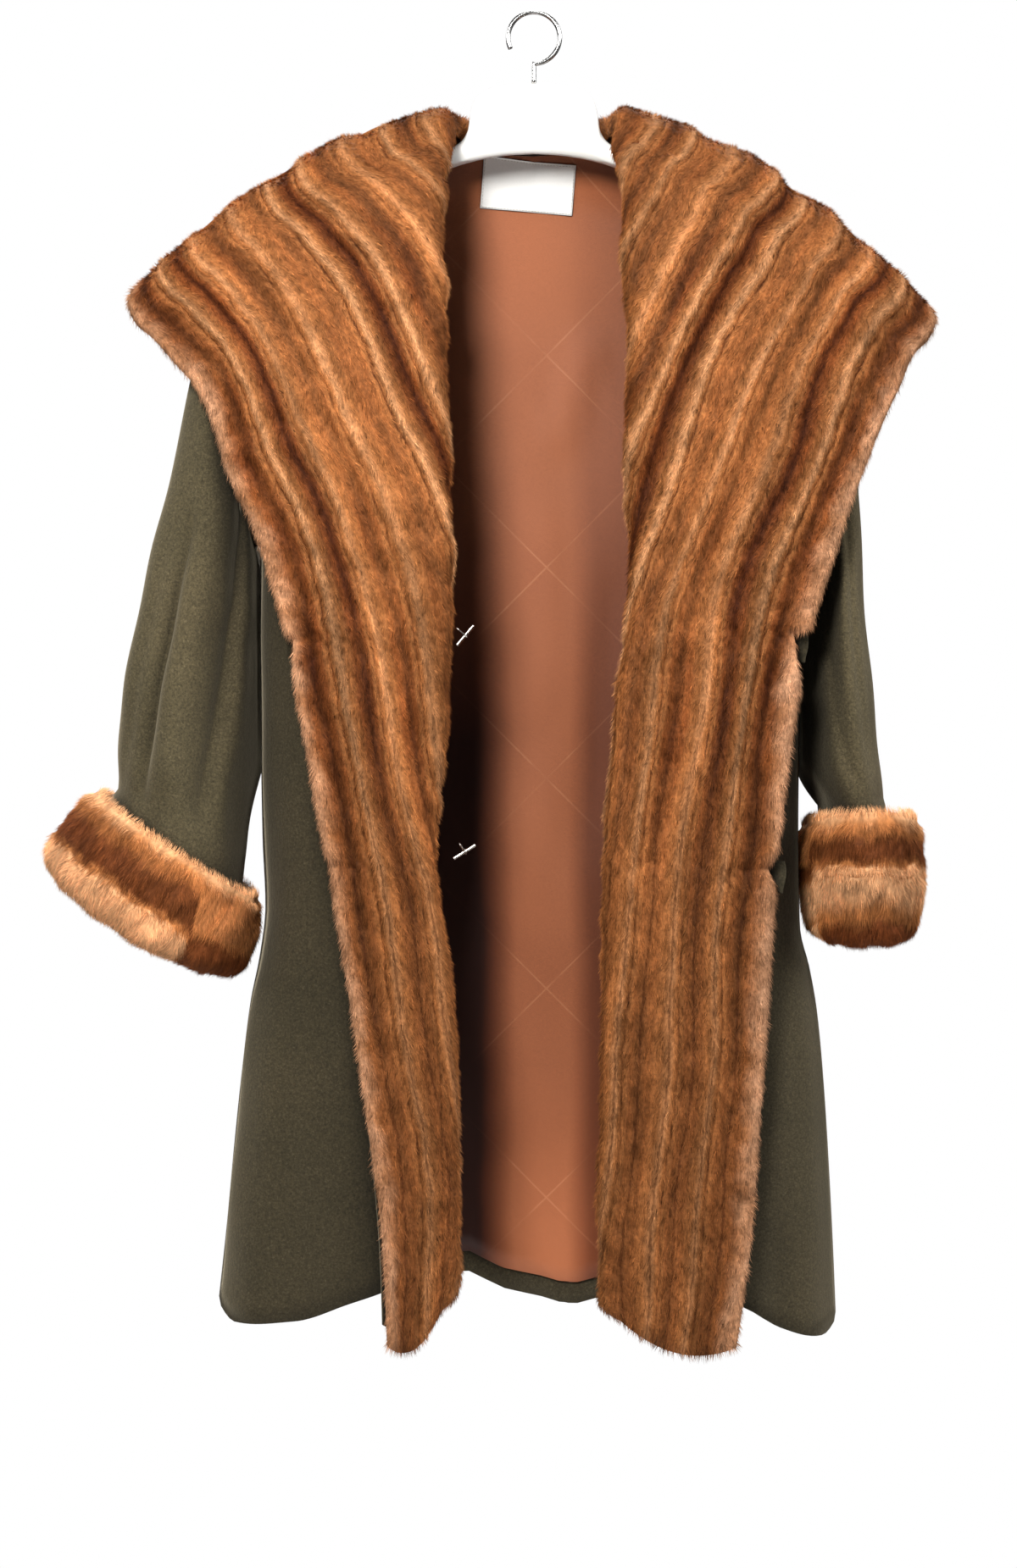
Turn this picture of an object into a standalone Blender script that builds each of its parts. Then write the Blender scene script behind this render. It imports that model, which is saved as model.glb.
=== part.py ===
"""Fur-trimmed wool coat hanging open on a moulded hanger.

A loden swing coat with sleeves. Its fronts are turned back along a fold, so that the fur facing
shows as a full-length revers, which widens at the top into a collar with wing tips and goes on
over the shoulders and round the back. The sleeve ends are turned back as fur cuffs.

Sizes are in millimetres until a mesh is made. +X is the viewer's right, -Y the coat's front and
+Z up. The origin is the inside top of the hanger's hook, where a rod carries it.
"""

import math

import bpy
import numpy as np
from mathutils.bvhtree import BVHTree

MM = 0.001

# --- driving sizes -------------------------------------------------------------------------
CLOTH = 2.4  # wool melton
LINING = 1.0
BACKING = 2.0  # cloth under the turned-back fur
PELT = 12.0  # skin and hair together, the fur's whole reach
ROLL = 11.5  # radius of the fold where the front turns back
SEAM = 0.42  # half the gap between the front and back at the shoulder and side

SHOULDER_ROUND = 60.0  # drop from the shoulder line to where the body has its full depth
SECTION = 2.5  # how square the body's cross-section is
ARMHOLE_DEPTH = 52.0  # half the armhole's size from front to back
SHOULDER_Z = {-1: -174.0, 1: -180.0}  # -1 is the viewer's left, 1 the right
UNDERARM_Z = {-1: -450.0, 1: -455.0}
EDGE_BEHIND_FOLD = 16.0  # the cloth front ends this far inside the fold's outline
LINING_BEHIND_FOLD = 36.0  # and its lining this far
NECK_WIDTH = 80.0  # half the back neck, where the front's edge meets the shoulder
NECK_Z = -107.5
NECK_DIP = 4.0

HOOK_RADIUS = 22.0
HOOK_WIRE = 4.0
HOOK_FOOT_Z = -58.7  # just above the hanger's top


def pchip(at, xs, ys):
    """Smooth curve through (xs, ys) that never swings past its points."""
    order = np.argsort(xs)
    xs, ys = np.asarray(xs, float)[order], np.asarray(ys, float)[order]
    step = np.diff(xs)
    rise = np.diff(ys) / step
    slope = np.zeros(len(xs))
    slope[0], slope[-1] = rise[0], rise[-1]
    for i in range(1, len(xs) - 1):
        if rise[i - 1] * rise[i] > 0:
            w1, w2 = 2 * step[i] + step[i - 1], step[i] + 2 * step[i - 1]
            slope[i] = (w1 + w2) / (w1 / rise[i - 1] + w2 / rise[i])
    at = np.clip(np.asarray(at, float), xs[0], xs[-1])
    k = np.clip(np.searchsorted(xs, at, side="right") - 1, 0, len(step) - 1)
    h = step[k]
    u = (at - xs[k]) / h
    return (
        ys[k] * (2 * u**3 - 3 * u**2 + 1)
        + h * slope[k] * (u**3 - 2 * u**2 + u)
        + ys[k + 1] * (3 * u**2 - 2 * u**3)
        + h * slope[k + 1] * (u**3 - u**2)
    )


class Table:
    """Rows of sizes under named columns, read between rows by a smooth curve."""

    def __init__(self, columns, rows):
        self.columns = dict(zip(columns.split(), np.array(rows, float).T))
        self.count = len(rows)

    def along(self, key, at, name):
        return pchip(at, self.columns[key], self.columns[name])

    def row(self, at, name):
        return pchip(at, np.arange(self.count), self.columns[name])


# Shoulder line of the cloth, from the middle of the back neck out to the sleeve.
SHOULDER = {
    -1: Table("x z", [(0, -88), (66, -106), (100, -111), (139, -123), (189, -146), (243, -174)]),
    1: Table("x z", [(0, -88), (66, -106), (100, -111.5), (139, -125), (189, -150), (238, -180)]),
}

# Depth of the body in front of and behind the shoulder line, by height.
DEPTH = Table(
    "z front back",
    [
        (-100, 58, 47),
        (-180, 62, 62),
        (-260, 69, 72),
        (-360, 76, 78),
        (-450, 79, 80),
        (-600, 81, 85),
        (-750, 84, 91),
        (-900, 90, 98),
        (-1000, 95, 103),
        (-1120, 101, 110),
    ],
)

# Half widths of the body at the side seams, left and right.
SIDE = {
    -1: Table(
        "z x",
        [(-174, 243), (-450, 232), (-600, 231.5), (-700, 230), (-760, 227.5), (-800, 232),
         (-840, 240), (-900, 247.5), (-962, 254), (-1027, 260), (-1092, 267)],
    ),
    1: Table(
        "z x",
        [(-180, 237), (-455, 226), (-600, 225), (-690, 224), (-780, 225.5), (-810, 233),
         (-850, 240), (-916, 246), (-980, 250), (-1060, 254), (-1110, 256)],
    ),
}

# Outline of the front fold, half a coat's opening from the middle, by height.
FOLD = {
    -1: Table(
        "z x",
        [(-84, 60), (-137, 70), (-230, 73), (-308, 74), (-428, 64), (-526, 67), (-603, 70.5),
         (-715, 77), (-848, 64), (-920, 61), (-1062, 60)],
    ),
    1: Table(
        "z x",
        [(-84, 60), (-137, 68), (-165, 71), (-239, 71), (-320, 75.5), (-461, 72.5), (-533, 68),
         (-638, 59), (-708, 56.5), (-777, 53.5), (-916, 51.5), (-988, 49.5), (-1068, 52)],
    ),
}

# How far the front edge hangs back into the coat, by height.
TURN_IN = {
    -1: Table("z y", [(-500, 0), (-700, 6), (-850, 20), (-950, 30), (-1120, 38)]),
    1: Table("z y", [(-500, 0), (-900, 2), (-1120, 4)]),
}

# Hems: height at each place across the panel.
HEM_FRONT = {
    -1: Table(
        "x z",
        [(40, -1046), (90, -1056), (122, -1075), (156, -1087), (199, -1102), (249, -1105), (267, -1092)],
    ),
    1: Table(
        "x z",
        [(40, -1062), (90, -1070), (135, -1078), (172, -1088), (204, -1107), (240, -1116), (256, -1105)],
    ),
}
HEM_BACK = Table(
    "x z",
    [(-267, -1092), (-200, -1106), (-120, -1100), (-62, -1088), (-27, -1103), (7, -1109),
     (34, -1115), (60, -1110), (130, -1118), (200, -1108), (256, -1105)],
)

# Soft flutes of the body's skirt: place at the hem and at the top, height where each starts,
# how far it stands out, and its width.
FLUTES_BACK = Table(
    "x_hem x_top z_top out width",
    [(-205, -170, -560, 9, 30), (-128, -105, -500, -8, 34), (-52, -50, -620, 11, 36),
     (32, 25, -540, -9, 33), (112, 92, -600, 10, 38), (196, 160, -520, -8, 30)],
)
FLUTES_FRONT = {
    -1: Table("x_hem x_top z_top out width", [(-236, -205, -640, 5, 17), (-196, -178, -560, -6, 22)]),
    1: Table("x_hem x_top z_top out width", [(228, 198, -660, 6, 19), (196, 172, -600, -5, 18)]),
}

# Sleeves: each ring's outer and inner point in front view, its half size from front to back,
# where it lies from front to back, and how far its inner side lies behind its outer side, as
# the arms hang a little behind the body. The last rings follow the cuff.
SLEEVE = {
    -1: Table(
        "xo zo xi zi half y behind",
        [(245.2, -174, 235, -450, 52, 0, 0), (260, -198, 239, -456, 52, 0, 6),
         (275, -240, 237, -466, 52, 3, 20), (287, -302, 230, -484, 53, 7, 36),
         (300, -364, 226, -508, 54, 9, 44), (314, -426, 225, -538, 54, 10, 46),
         (330, -494, 225, -572, 55, 10, 46), (346, -570, 229, -614, 56, 9, 40),
         (352, -625, 240, -668, 57, 6, 14), (354, -660, 248, -722, 57, 4, 0)],
    ),
    1: Table(
        "xo zo xi zi half y behind",
        [(239.2, -180, 229, -455, 52, 0, 0), (252, -203, 233, -461, 52, 2, 6),
         (262, -245, 231, -470, 55, 7, 20), (268, -304, 225, -486, 59, 13, 34),
         (271.5, -368, 221, -506, 62, 17, 42), (275.5, -434, 220, -536, 65, 19, 42),
         (279, -500, 220, -572, 68, 19, 42), (286, -568, 219, -614, 70, 18, 36),
         (292, -626, 227, -642, 71, 15, 12), (297, -668, 245, -674, 70, 14, 0)],
    ),
}
# Lengthwise flutes of the sleeves: place round the ring in degrees from the outer side towards
# the front, depth, width in degrees, and the first and last ring they show on.
SLEEVE_FLUTES = {
    -1: Table(
        "turn out width first last",
        [(50, -5, 20, 3, 9), (76, 4, 14, 4, 9), (108, -4, 16, 5, 9), (250, -5, 26, 4, 9)],
    ),
    1: Table("turn out width first last", [(62, 3, 20, 4, 9), (118, -4, 26, 4, 9), (240, -4, 24, 4, 9)]),
}

# Turned-back fur cuffs: top and bottom ring of the outer wall, as for the sleeves, and how far
# each ring's front hangs below its back for each millimetre it stands forward.
CUFF = {
    -1: Table(
        "xo zo xi zi half y pitch",
        [(367, -660, 236.5, -749, 66, 4, 0.02), (405, -710, 250, -799, 74, 4, 0.26)],
    ),
    1: Table(
        "xo zo xi zi half y pitch",
        [(323, -680, 234, -682, 86, 14, -0.08), (322, -768, 239, -770, 88, 14, 0.08)],
    ),
}
CUFF_RETURN = 25.0  # how far the fur goes up again inside the sleeve
SLEEVE_GAP = 4.6  # between the middles of the sleeve's cloth and the body's, where they touch
SLEEVE_IN_CUFF = (0.45, 0.92)  # where the sleeve's last rings lie down the cuff's wall

# Turned-back fur front. Each row runs from the fold to the free edge. It gives the fold's
# height, the free edge, how much the row arches up and bows forward between them, and how the
# fur turns at the fold: the way it heads, the angle it turns and how far it goes on inside.
FUR_FRONT = {
    -1: Table(
        "zi xo yo zo arch belly heading turn return",
        [(-84, 346, 0, -243, 25, 0, 0, 95, 3), (-89, 347, -10, -249, 24, 15, 10, 95, 3),
         (-99, 345, -19, -260, 21, 24, 30, 100, 3), (-118, 338, -27, -272, 17, 26, 60, 120, 4),
         (-134, 324, -35, -284, 14, 22, 80, 150, 7), (-160, 303, -46, -308, 11, 17, 90, 180, 12),
         (-205, 288, -55, -325, 8, 14, 90, 180, 12), (-265, 270, -63, -361, 5, 12, 90, 180, 12),
         (-335, 258, -69, -401, 3, 9, 90, 180, 12), (-405, 238, -73, -442, 1, 6, 90, 180, 12),
         (-470, 221, -76, -495, 0, 5, 90, 180, 12), (-527, 211, -78, -531, 0, 5, 90, 180, 12),
         (-610, 196, -80, -610, 0, 5, 90, 180, 12), (-728, 175, -85, -728, 0, 4, 90, 180, 12),
         (-830, 157, -90, -830, 0, 3, 90, 180, 12), (-930, 142, -96, -930, 0, 2, 90, 180, 12),
         (-1030, 128, -103, -1030, -6, 0, 90, 180, 12), (-1095, 123, -108, -1117, -20, 0, 90, 180, 12)],
    ),
    1: Table(
        "zi xo yo zo arch belly heading turn return",
        [(-84, 342, 0, -259, 27, 0, 0, 95, 3), (-88, 343, -10, -266, 26, 15, 10, 95, 3),
         (-98, 340, -19, -277, 23, 24, 30, 100, 3), (-118, 333, -27, -287, 18, 26, 60, 120, 4),
         (-134, 322, -35, -298, 15, 22, 80, 150, 7), (-160, 309, -46, -326, 12, 17, 90, 180, 12),
         (-205, 297, -54, -350, 9, 14, 90, 180, 12), (-265, 283, -62, -382, 6, 12, 90, 180, 12),
         (-335, 265, -70, -429, 3, 9, 90, 180, 12), (-405, 255, -75, -460, 2, 6, 90, 180, 12),
         (-470, 242, -78, -498, 0, 5, 90, 180, 12), (-531, 231, -80, -534, 0, 5, 90, 180, 12),
         (-612, 218, -82, -612, 0, 5, 90, 180, 12), (-727, 204, -86, -727, 0, 4, 90, 180, 12),
         (-830, 197, -91, -830, 0, 3, 90, 180, 12), (-930, 189, -96, -930, 0, 2, 90, 180, 12),
         (-1030, 181, -102, -1030, -4, 0, 90, 180, 12), (-1098, 168, -108, -1119, -18, 0, 90, 180, 12)],
    ),
}
# The fold's depth over the shoulder, by row. From the last of these rows it follows the cloth.
FOLD_DEPTH = Table("row y", [(0, 0), (1, -18), (2, -32), (3, -44), (4, -60), (5, -70)])
# Slits in the free edges where the closing loops come through: the deepest point and how far
# the edge is drawn in above and below it.
SLITS = {
    -1: Table("z deep above below", [(-536, 9, 4, 36), (-722, 5, 14, 40)]),
    1: Table("z deep above below", [(-532, 20, 3, 42), (-725, 12, 14, 18)]),
}
BOTTOM_LIFT = {-1: 26.0, 1: 16.0}  # the lowest corner at the fold curves up by this much

# Collar from a shoulder's ridge (row 0) round to the middle of the back (last row), each row
# from the neck to the outer edge. Left and right rows differ only near their wing tips.
COLLAR = Table(
    "xn yn zn xe ye ze arch belly return",
    [(76, 0, -84, 344, 0, -251, 26, 0, 3), (74, 12, -85, 342, 12, -255, 25, 22, 4),
     (70, 24, -86, 332, 27, -266, 22, 34, 6), (62, 34, -86, 311, 44, -283, 17, 34, 8),
     (50, 42, -85, 276, 64, -313, 9, 30, 10), (34, 48, -84, 225, 84, -354, 3, 25, 12),
     (17, 51, -83, 126, 98, -391, 0, 18, 13), (0, 52, -82, 0, 103, -403, 0, 15, 13.5)],
)
TIP_DROP = 8.0  # the right wing tip hangs this much below the mean, the left above it
STAND_TURN = math.radians(98)  # how far the collar turns over at the neck, into its stand
RIDGE_FLAT = 4.0  # the collar and the fronts meet on the ridge with this much of level fur


def shoulder_z(x):
    return np.where(x < 0, SHOULDER[-1].along("x", -x, "z"), SHOULDER[1].along("x", x, "z"))


def side_x(side, z):
    return SIDE[side].along("z", z, "x")


def armhole(side, z):
    """Half the armhole's depth at a height, 0 below the underarm."""
    top, low = SHOULDER_Z[side], UNDERARM_Z[side]
    q = (z - (top + low) / 2) / ((top - low) / 2)
    return ARMHOLE_DEPTH * np.sqrt(np.clip(1 - q * q, 0, 1))


def rounded(below):
    """0 at the shoulder line, 1 where the body is at its full depth."""
    q = np.clip(below / SHOULDER_ROUND, 0, 1)
    return np.sqrt(1 - (1 - q) ** 2)


def flutes(table, x, z, hem):
    """Sum of the skirt's soft folds at a place on a panel."""
    total = np.zeros(np.broadcast(x, z).shape)
    names = ("x_hem", "x_top", "z_top", "out", "width")
    for x_hem, x_top, z_top, out, width in zip(*(table.columns[n] for n in names)):
        down = np.clip((z_top - z) / (z_top - hem), 0, 1)
        middle = x_top + (x_hem - x_top) * down
        total += out * down**1.3 * np.exp(-(((x - middle) / width) ** 2))
    return total


def body_depth(side, front, x, z):
    """How far the cloth stands in front of or behind the shoulder line."""
    half = side_x(side, z)
    across = np.clip(np.abs(x) / half, 0, 1)
    deep = DEPTH.along("z", z, "front" if front else "back") * rounded(shoulder_z(x) - z)
    hole = armhole(side, z)
    return hole + np.maximum(deep - hole, 0) * (1 - across**SECTION) ** (1 / SECTION)


def front_y(side, x, z):
    fold = FOLD[side].along("z", z, "x")
    half = side_x(side, z)
    inward = np.clip((half - np.abs(x)) / (half - fold), 0, 1.3)
    turn = TURN_IN[side].along("z", z, "y") * inward**2
    out = flutes(FLUTES_FRONT[side], x, z, -1100)
    fade = np.clip((half - np.abs(x)) / 18, 0, 1)
    return -(SEAM + body_depth(side, True, x, z) + out * fade) + turn


def back_y(x, z):
    depth = np.where(x < 0, body_depth(-1, False, x, z), body_depth(1, False, x, z))
    half = np.where(x < 0, side_x(-1, z), side_x(1, z))
    fade = np.clip((half - np.abs(x)) / 24, 0, 1)
    return SEAM + depth + flutes(FLUTES_BACK, x, z, -1100) * fade


def front_panel(side, across, levels):
    """Grid of one front: its inner edge, the lining's edge, then on to the side seam."""
    grid = np.zeros((len(levels), len(across) + 1, 3))
    for j, t in enumerate(levels):
        z = np.full(len(across) + 1, SHOULDER_Z[side])
        for _ in range(6):  # the width depends on the height and the height on the place across
            half = side_x(side, z)
            fold = FOLD[side].along("z", z, "x")
            lined = fold + LINING_BEHIND_FOLD
            width = lined + (half - lined) * np.concatenate([[0.0], across])
            width[0] = fold[0] + EDGE_BEHIND_FOLD
            top = shoulder_z(side * width)
            z = top + (HEM_FRONT[side].along("x", width, "z") - top) * t
        grid[j, :, 0], grid[j, :, 2] = side * width, z
        grid[j, :, 1] = front_y(side, side * width, z)
    return grid


def back_panel(across, levels):
    """Grid of the back from the left side seam to the right."""
    across = np.concatenate([-across[:0:-1], across])
    grid = np.zeros((len(levels), len(across), 3))
    for j, t in enumerate(levels):
        z = np.full(len(across), SHOULDER_Z[-1])
        for _ in range(6):
            x = across * np.where(across < 0, side_x(-1, z), side_x(1, z))
            dip = NECK_DIP * np.clip(1 - (x / NECK_WIDTH) ** 2, 0, 1)
            top = np.minimum(shoulder_z(x), NECK_Z - dip)
            z = top + (HEM_BACK.along("x", x, "z") - top) * t
        grid[j, :, 0], grid[j, :, 2] = x, z
        grid[j, :, 1] = back_y(x, z)
    return grid


def shortened(grid, rise):
    """The grid with its last row moved up the one before it, so that its hem is higher."""
    last = grid[-1] - grid[-2]
    share = rise / np.linalg.norm(last, axis=1, keepdims=True)
    return np.concatenate([grid[:-1], (grid[-1] - last * share)[None]])


def arrange(y_inner, x_inner, side, rows, at, across):
    """Points of fur rows between the fold and the free edge."""
    zi, xo, yo, zo = (rows.row(at, n)[:, None] for n in ("zi", "xo", "yo", "zo"))
    arch, belly = (rows.row(at, n)[:, None] for n in ("arch", "belly"))
    bow = 4 * across * (1 - across)
    x = x_inner + (xo - x_inner) * across
    y = y_inner + (yo - y_inner) * across - belly * bow
    z = zi + (zo - zi) * across + arch * bow
    return np.stack([side * x, y, z], 2)


def slit_depth(side, z):
    """How far a slit draws the free edge in at a height."""
    total = np.zeros(np.shape(z))
    for z0, deep, above, below in zip(*(SLITS[side].columns[n] for n in ("z", "deep", "above", "below"))):
        reach = np.where(z > z0, above, below)
        total = np.maximum(total, deep * np.clip(1 - np.abs(z - z0) / reach, 0, 1))
    return total


def with_ridge(grid, forward):
    """The grid with a first row on the ridge and its own first row moved off it."""
    ridge, flat = grid[:1].copy(), grid[:1].copy()
    ridge[:, :, 1] = forward * SEAM
    flat[:, :, 1] = forward * RIDGE_FLAT
    return np.concatenate([ridge, flat, grid[1:]])


def fur_front(side, at, across, round_count):
    """Grid of a turned-back front: the part inside the coat, the fold, then the revers."""
    rows = FUR_FRONT[side]
    z_fold = rows.row(at, "zi")
    x_inner = FOLD[side].along("z", z_fold, "x") + ROLL + PELT / 2
    follow = np.clip(at - 3.5, 0, 1)
    y_inner = (1 - follow) * FOLD_DEPTH.along("row", at, "y")
    y_inner += follow * (front_y(side, side * x_inner, z_fold) - ROLL)
    face = arrange(y_inner[:, None], x_inner[:, None], side, rows, at, across[None, :])
    deep = slit_depth(side, rows.row(at, "zo"))[:, None]
    face[:, :, 0] -= side * deep * across[None, :] ** 14
    heading = np.radians(rows.row(at, "heading"))
    turn = np.radians(rows.row(at, "turn"))[:, None, None]
    on = rows.row(at, "return")[:, None, None]
    way = np.stack([np.zeros(len(at)), np.sin(heading), -np.cos(heading)], 1)[:, None, :]
    inward = np.array([-side, 0.0, 0.0])
    q = np.linspace(1, 0, round_count, endpoint=False)[None, :, None]
    angle = q * turn
    curl = face[:, :1] + ROLL * (np.sin(angle) * inward + (1 - np.cos(angle)) * way)
    end = curl[:, :1] + on * (np.cos(turn) * inward + np.sin(turn) * way)
    grid = np.concatenate([end, curl, face], 1)
    low = np.clip((at - (rows.count - 3)) / 2, 0, 1) ** 2
    lift = np.concatenate([[1.0], q[0, :, 0], np.zeros(len(across))])
    grid[:, :, 2] += BOTTOM_LIFT[side] * low[:, None] * lift
    return with_ridge(grid, -1)


def fur_collar(at, across, round_count):
    """Grid of the back collar from the left ridge, at -1, past the middle, 0, to the right, 1."""
    side = np.where(at < 0, -1.0, 1.0)
    row = (1 - np.abs(at)) * (COLLAR.count - 1)
    near_tip = np.clip(1 - row / 4, 0, 1)
    xn, yn, zn, xe, ye, ze, arch, belly, on = (COLLAR.row(row, n)[:, None] for n in COLLAR.columns)
    ze = ze - (TIP_DROP * near_tip * side)[:, None]
    xe = xe - (2 * near_tip * side)[:, None]
    s = across[None, :]
    bow = 4 * s * (1 - s)
    x = side[:, None] * (xn + (xe - xn) * s)
    face = np.stack([x, yn + (ye - yn) * s + belly * bow, zn + (ze - zn) * s + arch * bow], 2)
    round_neck = row / (COLLAR.count - 1) * math.pi / 2
    inward = np.stack([-side * np.cos(round_neck), -np.sin(round_neck), 0 * row], 1)[:, None, :]
    down = np.array([0.0, 0.0, -1.0])
    q = np.linspace(1, 0, round_count, endpoint=False)[None, :, None]
    angle = q * STAND_TURN
    curl = face[:, :1] + ROLL * (np.sin(angle) * inward + (1 - np.cos(angle)) * down)
    end = curl[:, :1] + on[:, :, None] * (math.cos(STAND_TURN) * inward + math.sin(STAND_TURN) * down)
    grid = np.concatenate([end, curl, face], 1)
    grid = with_ridge(grid, 1)
    return with_ridge(grid[::-1], 1)[::-1]


def ring(side, rows, at, around, inset=0.0):
    """One ring of a sleeve or cuff, from its outer side round by the front."""
    xo, zo, xi, zi, half, y = (float(rows.row(at, n)) for n in ("xo", "zo", "xi", "zi", "half", "y"))
    pitch, behind = (float(rows.row(at, n)) if n in rows.columns else 0.0 for n in ("pitch", "behind"))
    middle = np.array([side * (xo + xi) / 2, y, (zo + zi) / 2])
    across = np.array([side * (xo - xi) / 2, -behind / 2, (zo - zi) / 2])
    across *= 1 - inset / np.linalg.norm(across)
    deep = (half - inset) * np.array([0.0, -1.0, -pitch])
    return middle + np.cos(around)[:, None] * across + np.sin(around)[:, None] * deep


def beside_body(side, rings, gap):
    """The rings with their points moved out where the sleeve would press into the body."""
    y, z = rings[:, :, 1], rings[:, :, 2]
    deep = np.where(y < 0, DEPTH.along("z", z, "front"), DEPTH.along("z", z, "back"))
    t = np.clip(np.abs(y) / deep, 0, 0.97)
    half = side_x(side, z)
    edge = half * (1 - t**SECTION) ** (1 / SECTION)
    slope = half * (1 - t**SECTION) ** (1 / SECTION - 1) * t ** (SECTION - 1) / deep
    least = edge + gap[:, None] * np.sqrt(1 + slope**2)
    rings[:, :, 0] = side * np.maximum(side * rings[:, :, 0], least)


def sleeve(side, count):
    around = np.linspace(0, 2 * math.pi, count, endpoint=False)
    at = np.arange(SLEEVE[side].count)
    rings = np.array([ring(side, SLEEVE[side], a, around) for a in at])
    out = rings - rings.mean(1, keepdims=True)
    out /= np.linalg.norm(out, axis=2, keepdims=True)
    t = SLEEVE_FLUTES[side].columns
    for turn, deep, width, first, last in zip(*(t[n] for n in ("turn", "out", "width", "first", "last"))):
        apart = (np.degrees(around) - turn + 180) % 360 - 180
        show = np.clip((at - first) / 2, 0, 1) * np.clip(last - at, 0, 1)
        rings += (deep * show[:, None] * np.exp(-((apart / width) ** 2)))[:, :, None] * out
    beside_body(side, rings[1:], np.interp(at[1:], [1, 3], [3.0, SLEEVE_GAP]))
    inside = [ring(side, CUFF[side], t, around, ROLL) for t in SLEEVE_IN_CUFF]
    return np.concatenate([rings, inside])


def cuff(side, count, wall, round_count):
    """Grid of a cuff: down the outer wall, round its lower edge and up again inside."""
    around = np.linspace(0, 2 * math.pi, count, endpoint=False)
    rings = [ring(side, CUFF[side], a, around) for a in np.linspace(0, 1, wall)]
    down = rings[-1].mean(0) - rings[0].mean(0)
    length = np.linalg.norm(down)
    down /= length
    for angle in np.linspace(0, math.pi, round_count + 1)[1:]:
        turned = ring(side, CUFF[side], 1, around, ROLL * (1 - math.cos(angle)))
        rings.append(turned + ROLL * math.sin(angle) * down)
    rings.append(ring(side, CUFF[side], 1 - CUFF_RETURN / length, around, 2 * ROLL))
    return np.array(rings)


def normals(grid, closed=False):
    """Unit normals of a grid of points."""
    along = np.gradient(grid, axis=0)
    if closed:
        around = (np.roll(grid, -1, 1) - np.roll(grid, 1, 1)) / 2
    else:
        around = np.gradient(grid, axis=1)
    n = np.cross(around, along)
    return n / np.maximum(np.linalg.norm(n, axis=2, keepdims=True), 1e-9)


def moved(grid, distance, closed=False):
    return grid + normals(grid, closed) * distance


# --- Blender ------------------------------------------------------------------------------
for old in list(bpy.data.objects):
    bpy.data.objects.remove(old)
coat = bpy.data.collections.new("fur_trimmed_coat_on_hanger")
bpy.context.scene.collection.children.link(coat)


def material(name, colour, rough, metal=0.0, sheen=0.0):
    made = bpy.data.materials.new(name)
    made.use_nodes = True
    shader = made.node_tree.nodes["Principled BSDF"]
    shader.inputs["Base Color"].default_value = (*colour, 1)
    shader.inputs["Roughness"].default_value = rough
    shader.inputs["Metallic"].default_value = metal
    shader.inputs["Sheen Weight"].default_value = sheen
    made.diffuse_color = (*colour, 1)
    return made


def place(name, mesh, look):
    item = bpy.data.objects.new(name, mesh)
    item.data.materials.append(look)
    coat.objects.link(item)
    return item


def cloth(name, grid, thickness, look, closed=False):
    """A sheet of one thickness on a grid of points."""
    rows, columns, _ = grid.shape
    last = columns if closed else columns - 1
    faces = []
    for j in range(rows - 1):
        for i in range(last):
            k = (i + 1) % columns
            faces.append((j * columns + i, j * columns + k, (j + 1) * columns + k, (j + 1) * columns + i))
    mesh = bpy.data.meshes.new(name)
    mesh.from_pydata((grid.reshape(-1, 3) * MM).tolist(), [], faces)
    item = place(name, mesh, look)
    wall = item.modifiers.new("Thickness", "SOLIDIFY")
    wall.thickness = thickness * MM
    wall.offset = 0
    return item


WOOL = (0.072, 0.058, 0.036)
FUR = (0.33, 0.14, 0.055)
SATIN = (0.42, 0.16, 0.085)

WOOL_PIECES = ("back", "fronts", "sleeves", "backing", "loops")
wool = {name: material("wool_" + name, WOOL, 0.9, sheen=0.3) for name in WOOL_PIECES}
fur = {n: material("fur_" + n, FUR, 0.7, sheen=0.4) for n in ("fronts", "collar", "cuffs")}
satin = {n: material("lining_" + n, SATIN, 0.5) for n in ("back", "fronts")}

SIDES = {"left": -1, "right": 1}

# --- body ---------------------------------------------------------------------------------
LEVELS = np.array([0, 0.004, 0.018, 0.042, 0.08, 0.14, 0.22, 0.31, 0.42, 0.53, 0.64, 0.74, 0.86, 1.0])
ACROSS_BACK = np.array([0, 0.15, 0.3, 0.45, 0.59, 0.72, 0.83, 0.92, 0.98, 1.0])
ACROSS_FRONT = np.array([0, 0.26, 0.5, 0.7, 0.85, 0.96, 1.0])
LINING_INSET = CLOTH / 2 + 1.5 + LINING / 2
LINING_SEAM = 0.6  # half the gap between the front and back linings
HEM_TURNING = 19.0  # width of the cloth's own hem, left bare below the lining

back = back_panel(ACROSS_BACK, LEVELS)
cloth("back", back, CLOTH, wool["back"])
lining_back = shortened(moved(back, -LINING_INSET), HEM_TURNING)
lining_back[:, :, 1] = np.maximum(lining_back[:, :, 1], LINING_SEAM)
cloth("lining_back", lining_back, LINING, satin["back"])

# --- fronts, furs, sleeves and cuffs --------------------------------------------------------
TOP_ROWS = [0, 0.5, 1, 1.6, 2.3, 3, 3.7, 4.4, 5.2, 6, 7, 8, 9.2, 10.3]
SLIT_LEVELS = {
    -1: (-532, -536, -552, -572, -640, -708, -722, -742, -780, -880, -980, -1060),
    1: (-529, -532, -552, -574, -640, -711, -725, -743, -780, -880, -980, -1060),
}
ACROSS_FUR = np.array([0, 0.12, 0.28, 0.45, 0.62, 0.79, 0.92, 1.0])
BACKED_ROWS = [7, 8, 9, 10, 12, 14, 15, 16, 17, 18, 19, 20, 21, 22, 23, 24, 25, 26, 27]
BACKING_GAP = 1.1
WRAP = 3


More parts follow.
